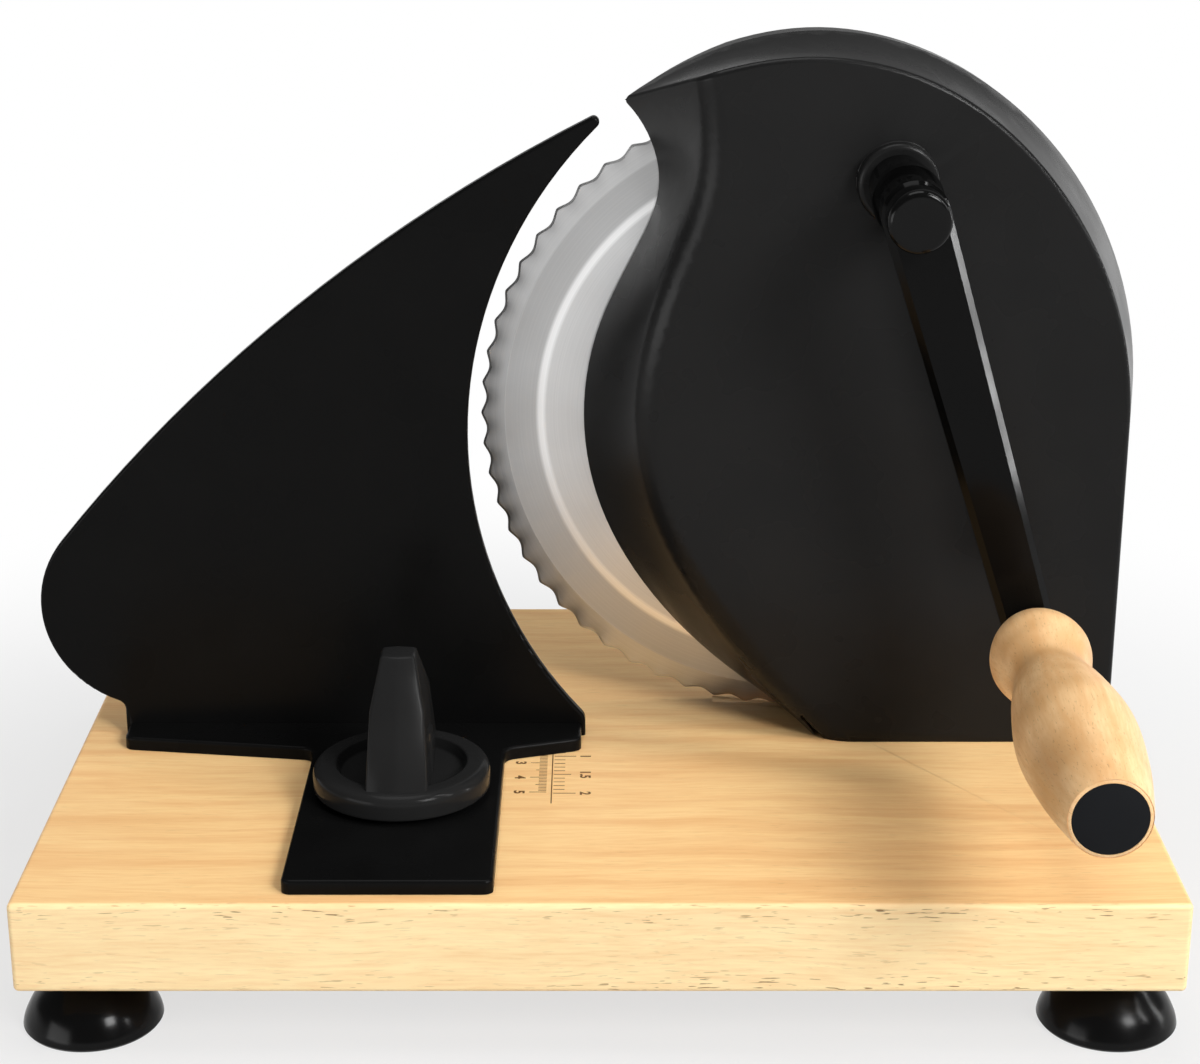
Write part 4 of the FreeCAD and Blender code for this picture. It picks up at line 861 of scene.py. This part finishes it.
    def build(self) -> None:
        """Print both rows of marks, the line between them and the figures."""
        parts = [self.ticks("scale_centimetres", self.line_x - 1.5, self.centimetre / 10, 51, -1,
                            (2.3, 3.2, 4.9)),
                 self.ticks("scale_inches", self.line_x + 0.5, self.inch / 10, 21, 1, (3.2, 5.0, 6.4))]
        for unit, x, amounts in ((self.centimetre, -9.4, (1, 2, 3, 4, 5)), (self.inch, 9.5, (1, 1.5, 2))):
            parts += [self.figure(str(amount), self.line_x + x, self.zero_y - unit * amount)
                      for amount in amounts]
        dress(join("printed_scale", parts + [self.line()]), INK, Body.BASE, "board_wood")


@dataclass
class Board:
    """Beech board on four suction cups, with its printed scale."""

    scale: PrintedScale = field(default_factory=PrintedScale)
    rim: float = 19.0              # radius of a cup's lip
    neck: float = 9.5
    height: float = 20.0
    well: float = 6.4              # radius of the screw's seat inside the cup
    seat: float = 10.0             # height of that seat
    bore: float = 2.2

    def cup_section(self) -> list[tuple[float, float]]:
        """Return the half section of a suction cup: thin lip, domed skirt, plain neck, hollow below."""
        outside = smooth_line([(self.rim, 0.7), (self.rim - 0.7, 3.2), (self.rim - 3.0, 7.6),
                               (self.rim - 6.6, 11.6), (self.neck + 0.5, 14.3), (self.neck, 16.0)])
        inside = smooth_line([(self.well, 6.6), (self.well + 2.6, 4.8), (self.rim - 4.8, 2.9),
                              (self.rim - 1.6, 0.0)], 5)
        return ([(self.rim - 0.5, 0.0)] + outside
                + [(self.neck, self.height), (self.bore, self.height), (self.bore, self.seat),
                   (self.well, self.seat)] + inside)

    def build(self) -> None:
        """Dress the board and its feet."""
        dress(refined("base_board", "beech_board", 40.0), BOARD_BEECH, Body.BASE, "board_wood", "base_board")
        self.scale.build()
        for node in ("foot_front_left", "foot_front_right", "foot_back_left", "foot_back_right"):
            centre = centre_of(node)
            cup = turned(node + "_cup", self.cup_section(), standing(Vector((centre.x, centre.y, 0.0))))
            dress(cup, FOOT_RUBBER, Body.BASE, "foot_rubber", node)
        finish_nodes(ZINC, "foot_screws", "foot_washers", "housing_screws")


@dataclass
class Housing:
    """Coated housing with its ramp, and the fixed bearing pieces inside."""

    def build(self) -> None:
        """Dress the housing and what it holds still."""
        dress(refined("housing_cover", "coated_housing", 40.0), HOUSING_COAT, Body.BASE, "housing_black",
              "housing_cover")
        finish_nodes(STEEL, "blade_axle", "blade_lock_screw")
        finish_nodes(BRONZE, "blade_thrust_washer", "crank_bush")
        finish_nodes(ZINC, "blade_lock_washer")


@dataclass
class Cutter:
    """Scalloped blade on its gear."""

    radius: float = 95.0
    thick: float = 1.5
    edge: float = 0.3              # thickness left at the cutting edge
    bevel: float = 7.0             # width of the ground bevel
    step: float = 76.6             # radius of the stamped step
    step_width: float = 1.8
    step_height: float = 0.25
    hole: float = 12.05
    teeth: int = 62
    tooth_points: int = 14         # points of the rim in each tooth
    depth: float = 1.5             # depth of a scallop
    bite: float = 2.8              # width of the bevel that eases into the scallops
    border: float = 0.7            # ground border along the scallops
    border_drop: float = 0.25

    def section(self) -> list[tuple[float, float]]:
        """Return the half section of the disc before the scallops are cut, front face up."""
        sunk = self.thick - self.step_height
        border, ground = self.radius - self.border, self.edge + self.border_drop
        half_way = self.radius - 4.0
        return [(self.hole, 0.0), (self.hole, self.thick), (self.step - 0.6, self.thick),
                (self.step, self.thick - 0.03), (self.step + self.step_width, sunk + 0.03),
                (self.step + self.step_width + 0.6, sunk),
                (self.radius - self.bevel, sunk), (half_way, (sunk + ground) / 2),
                (border, ground), (self.radius, self.edge), (self.radius, 0.0), (border, 0.0),
                (half_way, 0.0)]

    def steel(self, centre: Vector) -> TurnedMetal:
        """Tone the steel by its radius: a painted highlight as a bright line at the step, a darker ring past
        it, a pale bevel.

        Args:
            centre: A point of the blade's axis.

        Returns:
            The finish.
        """
        step, bevel = self.step, self.radius - self.bevel
        # the near-white tone at the step radius is a painted highlight
        return TurnedMetal("ground_stainless_blade", centre=tuple(centre), zones=(
            (step - 12.0, "#c9c9c9"), (step - 1.2, "#d2d2d2"), (step, "#fbfbfb"), (step + 1.2, "#f2f2f2"),
            (step + 2.2, "#bababa"), (bevel - 0.3, "#b3b3b3"), (bevel + 0.3, "#cfcfcf"),
            (self.radius, "#cfcfcf")))

    def cut_scallops(self, disc: Object, centre: Vector, steel: Finish) -> Object:
        """Cut the scallops into a plain disc with a node tree that draws its points in.

        Args:
            disc: The disc.
            centre: A point of its axis.
            steel: Its finish.

        Returns:
            The disc with its scallops.
        """
        work = NodeShape("scallops", {
            "Teeth": self.teeth, "Depth": self.depth * MM, "Tip Radius": self.radius * MM,
            "Border": self.border * MM, "Bite": self.bite * MM, "Centre X": centre.x, "Centre Z": centre.z})
        place = add_node(work.tree, "ShaderNodeSeparateXYZ", {
            0: add_node(work.tree, "GeometryNodeInputPosition")})
        for axis in "XZ":
            work["Point " + axis] = place.outputs[axis]
            work.work_out((axis, "SUBTRACT", "Point " + axis, "Centre " + axis),
                          (axis + " Squared", "MULTIPLY", axis, axis))
        work.work_out(("Sum", "ADD", "X Squared", "Z Squared"), ("Reach", "SQRT", "Sum"),
                      ("Angle", "ARCTAN2", "Z", "X"), ("Half Teeth", "MULTIPLY", "Teeth", 0.5),
                      ("Turn", "MULTIPLY", "Angle", "Half Teeth"))
        # the gap between two tips is a round hollow, and the power takes the sharpness off the tips
        work.work_out(("Sine", "SINE", "Turn"), ("Arch", "ABSOLUTE", "Sine"), ("Wave", "POWER", "Arch", 1.4),
                      ("Hollow", "MULTIPLY", "Wave", "Depth"))
        # the ground border follows the hollows at its full width, and the bevel behind it eases in
        work.work_out(("End", "SUBTRACT", "Tip Radius", "Border"), ("Start", "SUBTRACT", "End", "Bite"),
                      ("Past Start", "SUBTRACT", "Reach", "Start"), ("Near", "DIVIDE", "Past Start", "Bite"),
                      ("Near", "MINIMUM", "Near", 1.0), ("Near", "MAXIMUM", "Near", 0.0),
                      ("Inward", "MULTIPLY", "Hollow", "Near"), ("Outward", "MULTIPLY", "Inward", -1.0),
                      ("Shrink", "DIVIDE", "Outward", "Reach"), ("Move X", "MULTIPLY", "X", "Shrink"),
                      ("Move Z", "MULTIPLY", "Z", "Shrink"))
        offset = add_node(work.tree, "ShaderNodeCombineXYZ", {"X": work["Move X"], "Z": work["Move Z"]})
        cut = add_node(work.tree, "GeometryNodeSetPosition", {"Geometry": work["Geometry"], "Offset": offset})
        return work.build(disc, cut, steel)

    def build(self) -> None:
        """Turn the disc, cut its scallops and dress the gear."""
        low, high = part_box("blade")
        centre = Vector(((low.x + high.x) / 2, high.y, centre_of("blade_bush").z))
        steel = self.steel(centre)
        disc = turned("scalloped_blade", self.section(), facing(centre), self.teeth * self.tooth_points, 6.0)
        dress(self.cut_scallops(disc, centre, steel), steel, Body.CUTTER, "blade_steel", "blade")
        finish_nodes(NYLON, "blade_gear")
        finish_nodes(BRONZE, "blade_bush")
        finish_nodes(ZINC, "blade_screws")


@dataclass
class Crank:
    """Enamelled arm with its cap nut, shaft and pinion."""

    nut_radius: float = 8.5
    nut_height: float = 9.0
    nut_bore: float = 3.0
    nut_top: float = 2.0           # thickness over the bore

    def build(self) -> None:
        """Dress the arm, model the cap nut and finish the turned pieces."""
        dress(refined("crank_arm", "enamelled_arm", 24.0), ARM_ENAMEL, Body.CRANK, "arm_black", "crank_arm")
        centre = centre_of("crank_cap_nut")
        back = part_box("crank_cap_nut")[1].y
        deep = self.nut_height - self.nut_top
        section = rounded([(self.nut_bore, 0, 0), (self.nut_radius, 0, 0.4),
                           (self.nut_radius, self.nut_height, 2.2), (0, self.nut_height, 0), (0, deep, 0),
                           (self.nut_bore, deep, 0)])
        nut = turned("domed_cap_nut", section, facing(Vector((centre.x, back, centre.z))), 72)
        dress(nut, CAP_PLASTIC, Body.CRANK, "cap_black", "crank_cap_nut")
        finish_nodes(STEEL, "crank_shaft", "drive_pinion", "pinion_pin", "grip_spindle")
        finish_nodes(ZINC, "grip_washer", "grip_screw")


@dataclass
class Handle:
    """Turned grip that spins on its spindle."""

    length: float = 110.0
    collar: float = 13.75
    neck: float = 10.5
    belly: float = 15.5
    end: float = 10.2
    cap: float = 9.3
    cap_thick: float = 3.0
    sleeve: float = 6.0
    recess: float = 7.7            # radius of the room for washer and screw behind the cap
    recess_end: float = 14.3       # how far it reaches back from the grip's front end

    def section(self) -> list[tuple[float, float]]:
        """Return the half section of the grip: ball collar, waist, long belly, rolled end and its bore."""
        long = self.length
        outside = smooth_line([(self.collar * 0.6, 0.0), (self.collar * 0.82, 1.8), (self.collar, 10.0),
                               (self.collar * 0.93, 17.5), (self.neck, 28.5),
                               (self.belly * 0.86, long * 0.41), (self.belly, long * 0.6),
                               (self.belly * 0.9, long * 0.8), (self.end + 1.0, long - 4.5),
                               (self.end, long)], 10)
        return ([(self.sleeve, 0.0)] + outside[:-1]
                + [(self.end + 0.1, long - 0.5), (self.end - 0.5, long), (self.cap, long),
                   (self.cap, long - self.cap_thick), (self.recess, long - self.cap_thick),
                   (self.recess, long - self.recess_end), (self.sleeve, long - self.recess_end)])

    def cap_section(self) -> list[tuple[float, float]]:
        """Return the half section of the end cap: a flat disc with a low dome."""
        dome = smooth_line([(self.cap - 0.4, self.cap_thick), (self.cap * 0.75, self.cap_thick + 0.3),
                            (self.cap * 0.4, self.cap_thick + 0.55), (0.0, self.cap_thick + 0.65)], 6)
        return [(0, 0), (self.cap, 0), (self.cap, self.cap_thick - 0.35),
                (self.cap - 0.12, self.cap_thick - 0.12)] + dome

    def build(self) -> None:
        """Turn the grip and its end cap."""
        centre = centre_of("grip_spindle")
        back = Vector((centre.x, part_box("grip")[1].y, centre.z))
        front = back + Vector((0, -(self.length - self.cap_thick) * MM, 0))
        dress(turned("turned_grip", self.section(), facing(back), 128, 40.0), GRIP_BEECH, Body.HANDLE,
              "grip_wood", "grip")
        dress(turned("grip_end_cap", self.cap_section(), facing(front), 96), GRIP_CAP_PLASTIC, Body.HANDLE,
              "cap_black", "grip_cap")
        finish_nodes(NYLON, "grip_sleeve_back", "grip_sleeve_front")


@dataclass
class StopPlate:
    """Sliding stop plate with the clamp pieces that move with it."""

    def build(self) -> None:
        """Dress the plate and its clamp pieces."""
        dress(refined("stop_plate", "coated_stop_plate", 24.0), STOP_COAT, Body.STOP, "stop_black",
              "stop_plate")
        finish_nodes(NYLON, "guide_block")
        finish_nodes(ZINC, "guide_screws", "clamp_plate", "clamp_bolt", "knob_washer")


@dataclass
class ClampKnob:
    """Moulded knob: dished disc with a broad round lip and a tall wing whose ends run into the lip."""

    radius: float = 25.0
    rim: float = 7.5
    lip: float = 6.5               # width of the lip
    dish: float = 3.2
    height: float = 40.5
    insert: float = 6.5
    insert_deep: float = 15.0
    stem: float = 2.5              # wall of the stem round the insert
    stem_top: float = 2.0          # and over it
    sunk: float = 1.2              # height of the wing's foot, inside the disc
    base: float = 17.8             # width of the wing at its foot
    waist: float = 15.2            # at its shoulders
    top: float = 9.4
    edge: float = 0.9              # how far its edges are eased

    def disc(self, spot: Vector) -> Object:
        """Turn the dished disc with its round lip and the stem under the wing.

        Args:
            spot: Middle of the knob's underside.

        Returns:
            The disc.
        """
        floor, stem, core = self.rim - self.dish, self.insert_deep + self.stem_top, self.insert + self.stem
        inner = self.radius - self.lip
        line = rounded([(self.insert, 0, 0), (self.radius, 0, 1.0), (self.radius, self.rim - 0.4, 5.0),
                        (inner, self.rim, 0.9), (inner - 1.4, floor, 1.0),
                        (core, floor, 0), (core, stem, 0), (0, stem, 0), (0, self.insert_deep, 0),
                        (self.insert, self.insert_deep, 0)], 10)
        return turned("knob_disc", line, standing(spot), 144, 38.0)

    def wing(self, spot: Vector) -> Object:
        """Loft the wing through three levels and ease its edges.

        Args:
            spot: Middle of the knob's underside.

        Returns:
            The wing.
        """
        levels = [(self.sunk, self.base, 2 * self.radius - 0.5),
                  (self.height * 0.67, self.waist, self.radius * 1.04),
                  (self.height, self.top, self.radius * 0.36)]
        points, faces = [], []
        for level, wide, long in levels:
            half, end, corner = wide / 2, long / 2, long / 2 - 0.09 * wide
            ring = [(0, -end), (half, -corner), (half, corner), (0, end), (-half, corner), (-half, -corner)]
            points += [spot + Vector((x, y, level)) * MM for x, y in ring]
        sides = len(ring)
        for low in range(0, len(points) - sides, sides):
            faces += [(low + i, low + (i + 1) % sides, low + sides + (i + 1) % sides, low + sides + i)
                      for i in range(sides)]
        faces += [tuple(range(sides)), tuple(range(len(points) - sides, len(points)))]
        wing = shape("knob_wing", points, faces, 80.0)
        bevel = wing.modifiers.new("Bevel", "BEVEL")
        bevel.width = self.edge * MM
        bevel.segments = 4
        bevel.limit_method = "ANGLE"
        bevel.angle_limit = math.radians(15)
        return applied(wing)

    def build(self) -> None:
        """Model the knob and dress its insert."""
        low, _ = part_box("clamp_knob")
        centre = centre_of("knob_insert")
        spot = Vector((centre.x, centre.y, low.z))
        knob = join("winged_knob", [self.disc(spot), self.wing(spot)])
        dress(knob, KNOB_PHENOLIC, Body.KNOB, "knob_black", "clamp_knob")
        finish_nodes(BRASS, "knob_insert")


# ---------------------------------------------------------------- studio

def gloss_rays(rays: Node) -> Node:
    """Return the node that gives one for the rays that see the backdrop in gloss and through glass."""
    return add_node(rays.id_data, "ShaderNodeMath", {
        0: rays.outputs["Is Glossy Ray"], 1: rays.outputs["Is Transmission Ray"]}, operation="MAXIMUM")


@dataclass(frozen=True)
class Lamp:
    """A rectangular lamp. Places and sizes are in metres."""

    name: str
    spot: tuple[float, float, float]
    aim: tuple[float, float, float]    # the point it faces
    size: tuple[float, float]          # width and height
    power: float                       # watts

    def hang(self) -> None:
        """Hang the lamp and turn it to its aim."""
        data = bpy.data.lights.new(self.name, "AREA")
        data.shape = "RECTANGLE"
        data.size, data.size_y = self.size
        data.energy = self.power
        lamp = put(self.name, data)
        lamp.location = self.spot
        lamp.rotation_euler = (Vector(self.aim) - Vector(self.spot)).to_track_quat("-Z", "Y").to_euler()


@dataclass
class Studio:
    """Pale floor, soft lamps and the camera. Places and sizes are in metres."""

    camera_spot: tuple[float, float, float] = (0.0035, -0.6634, 0.3535)
    pitch: float = 19.35           # degrees below the horizontal
    lens: float = 75.01
    sensor: float = 36.0
    floor_half: float = 3.0
    floor_grey: float = 0.5        # the floor's own colour, which takes shadows and lights the slicer
    shade_end: float = 0.18        # from the origin, where the floor starts to turn plain white
    white_from: float = 0.42       # where it is white
    lifted: float = 0.7            # how much of the shadow under the slicer a light table takes away
    ambient: float = 0.17          # strength of the even light from all round
    ceiling: float = 0.18          # what gloss sees above the backdrop
    backdrop_top: float = 0.04     # height of a ray's direction up to which gloss sees the backdrop
    ceiling_from: float = 0.2      # and from which it sees the ceiling
    lamps: tuple[Lamp, ...] = (
        Lamp("key", (1.0, -1.28, 1.16), (0.06, 0.0, 0.12), (0.5, 0.6), 26.5),
        Lamp("strip", (0.78, -0.33, 0.8), (0.1, 0.0, 0.2), (0.05, 1.0), 5.6),
        Lamp("side", (1.25, 0.058, 0.32), (0.1, -0.02, 0.18), (0.02, 0.5), 2.6),
        Lamp("top", (-0.1, 0.0, 1.9), (0.0, 0.0, 0.1), (1.2, 1.0), 12.0),
        Lamp("left", (-0.9, -0.72, 0.12), (0.0, 0.0, 0.12), (0.7, 0.5), 4.2))

    def floor(self) -> None:
        """Lay the floor: pale and shaded near the slicer, plain white to the camera farther out."""
        half, grey = self.floor_half, self.floor_grey
        corners = [Vector((x, y, 0)) for x, y in ((-half, -half), (half, -half), (half, half), (-half, half))]
        floor = shape("floor", corners, [(0, 1, 2, 3)])
        material = bpy.data.materials.new("pale_floor")
        tree = emptied(material)
        place = add_node(tree, "ShaderNodeTexCoord")
        reach = add_node(tree, "ShaderNodeVectorMath", {0: place.outputs["Object"]}, operation="LENGTH")
        far = add_node(tree, "ShaderNodeMapRange", {
            "Value": reach, "From Min": self.shade_end, "From Max": self.white_from},
            interpolation_type="SMOOTHSTEP")
        # a shadow stays under the slicer, as pale as a light table leaves it
        white = add_node(tree, "ShaderNodeMapRange", {"Value": far, "To Min": self.lifted, "To Max": 1.0})
        rays = add_node(tree, "ShaderNodeLightPath")
        seen = add_node(tree, "ShaderNodeMath", {0: rays.outputs["Is Camera Ray"], 1: gloss_rays(rays)},
                        operation="MAXIMUM")
        share = add_node(tree, "ShaderNodeMath", {0: white, 1: seen}, operation="MULTIPLY")
        plain = add_node(tree, "ShaderNodeBsdfDiffuse", {"Color": (grey, grey, grey, 1.0)})
        glow = add_node(tree, "ShaderNodeEmission", {"Color": WHITE, "Strength": 1.0})
        mixed = add_node(tree, "ShaderNodeMixShader", {0: share, 1: plain, 2: glow})
        add_node(tree, "ShaderNodeOutputMaterial", {"Surface": mixed})
        floor.data.materials.append(material)

    def sky(self) -> None:
        """Soft even light from all round, white where the camera sees it."""
        world = bpy.data.worlds.new("studio")
        tree = emptied(world)
        place = add_node(tree, "ShaderNodeTexCoord")
        way = add_node(tree, "ShaderNodeSeparateXYZ", {0: place.outputs["Generated"]})
        level = add_node(tree, "ShaderNodeMapRange", {
            "Value": way.outputs["Z"], "From Min": self.backdrop_top, "From Max": self.ceiling_from,
            "To Min": 1.0, "To Max": self.ceiling})
        rays = add_node(tree, "ShaderNodeLightPath")
        level = add_node(tree, "ShaderNodeMapRange", {
            "Value": gloss_rays(rays), "To Min": self.ambient, "To Max": level})
        level = add_node(tree, "ShaderNodeMapRange", {
            "Value": rays.outputs["Is Camera Ray"], "To Min": level, "To Max": 1.0})
        light = add_node(tree, "ShaderNodeBackground", {"Color": WHITE, "Strength": level})
        add_node(tree, "ShaderNodeOutputWorld", {"Surface": light})
        bpy.context.scene.world = world

    def build(self) -> None:
        """Set up floor, light and camera."""
        self.floor()
        self.sky()
        for lamp in self.lamps:
            lamp.hang()
        data = bpy.data.cameras.new("camera")
        data.lens = self.lens
        data.sensor_width = self.sensor
        data.sensor_fit = "HORIZONTAL"
        camera = put("camera", data)
        camera.location = self.camera_spot
        camera.rotation_euler = (math.radians(90 - self.pitch), 0, 0)
        bpy.context.scene.camera = camera
        bpy.context.scene.view_settings.view_transform = "Standard"


def main() -> None:
    """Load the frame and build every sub-assembly."""
    logging.basicConfig(level=logging.INFO, format="%(name)s %(message)s")
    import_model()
    for part in (Board(), Housing(), Cutter(), Crank(), Handle(), StopPlate(), ClampKnob(), Studio()):
        LOG.info("building %s", type(part).__name__)
        part.build()


if __name__ == "__main__":
    main()
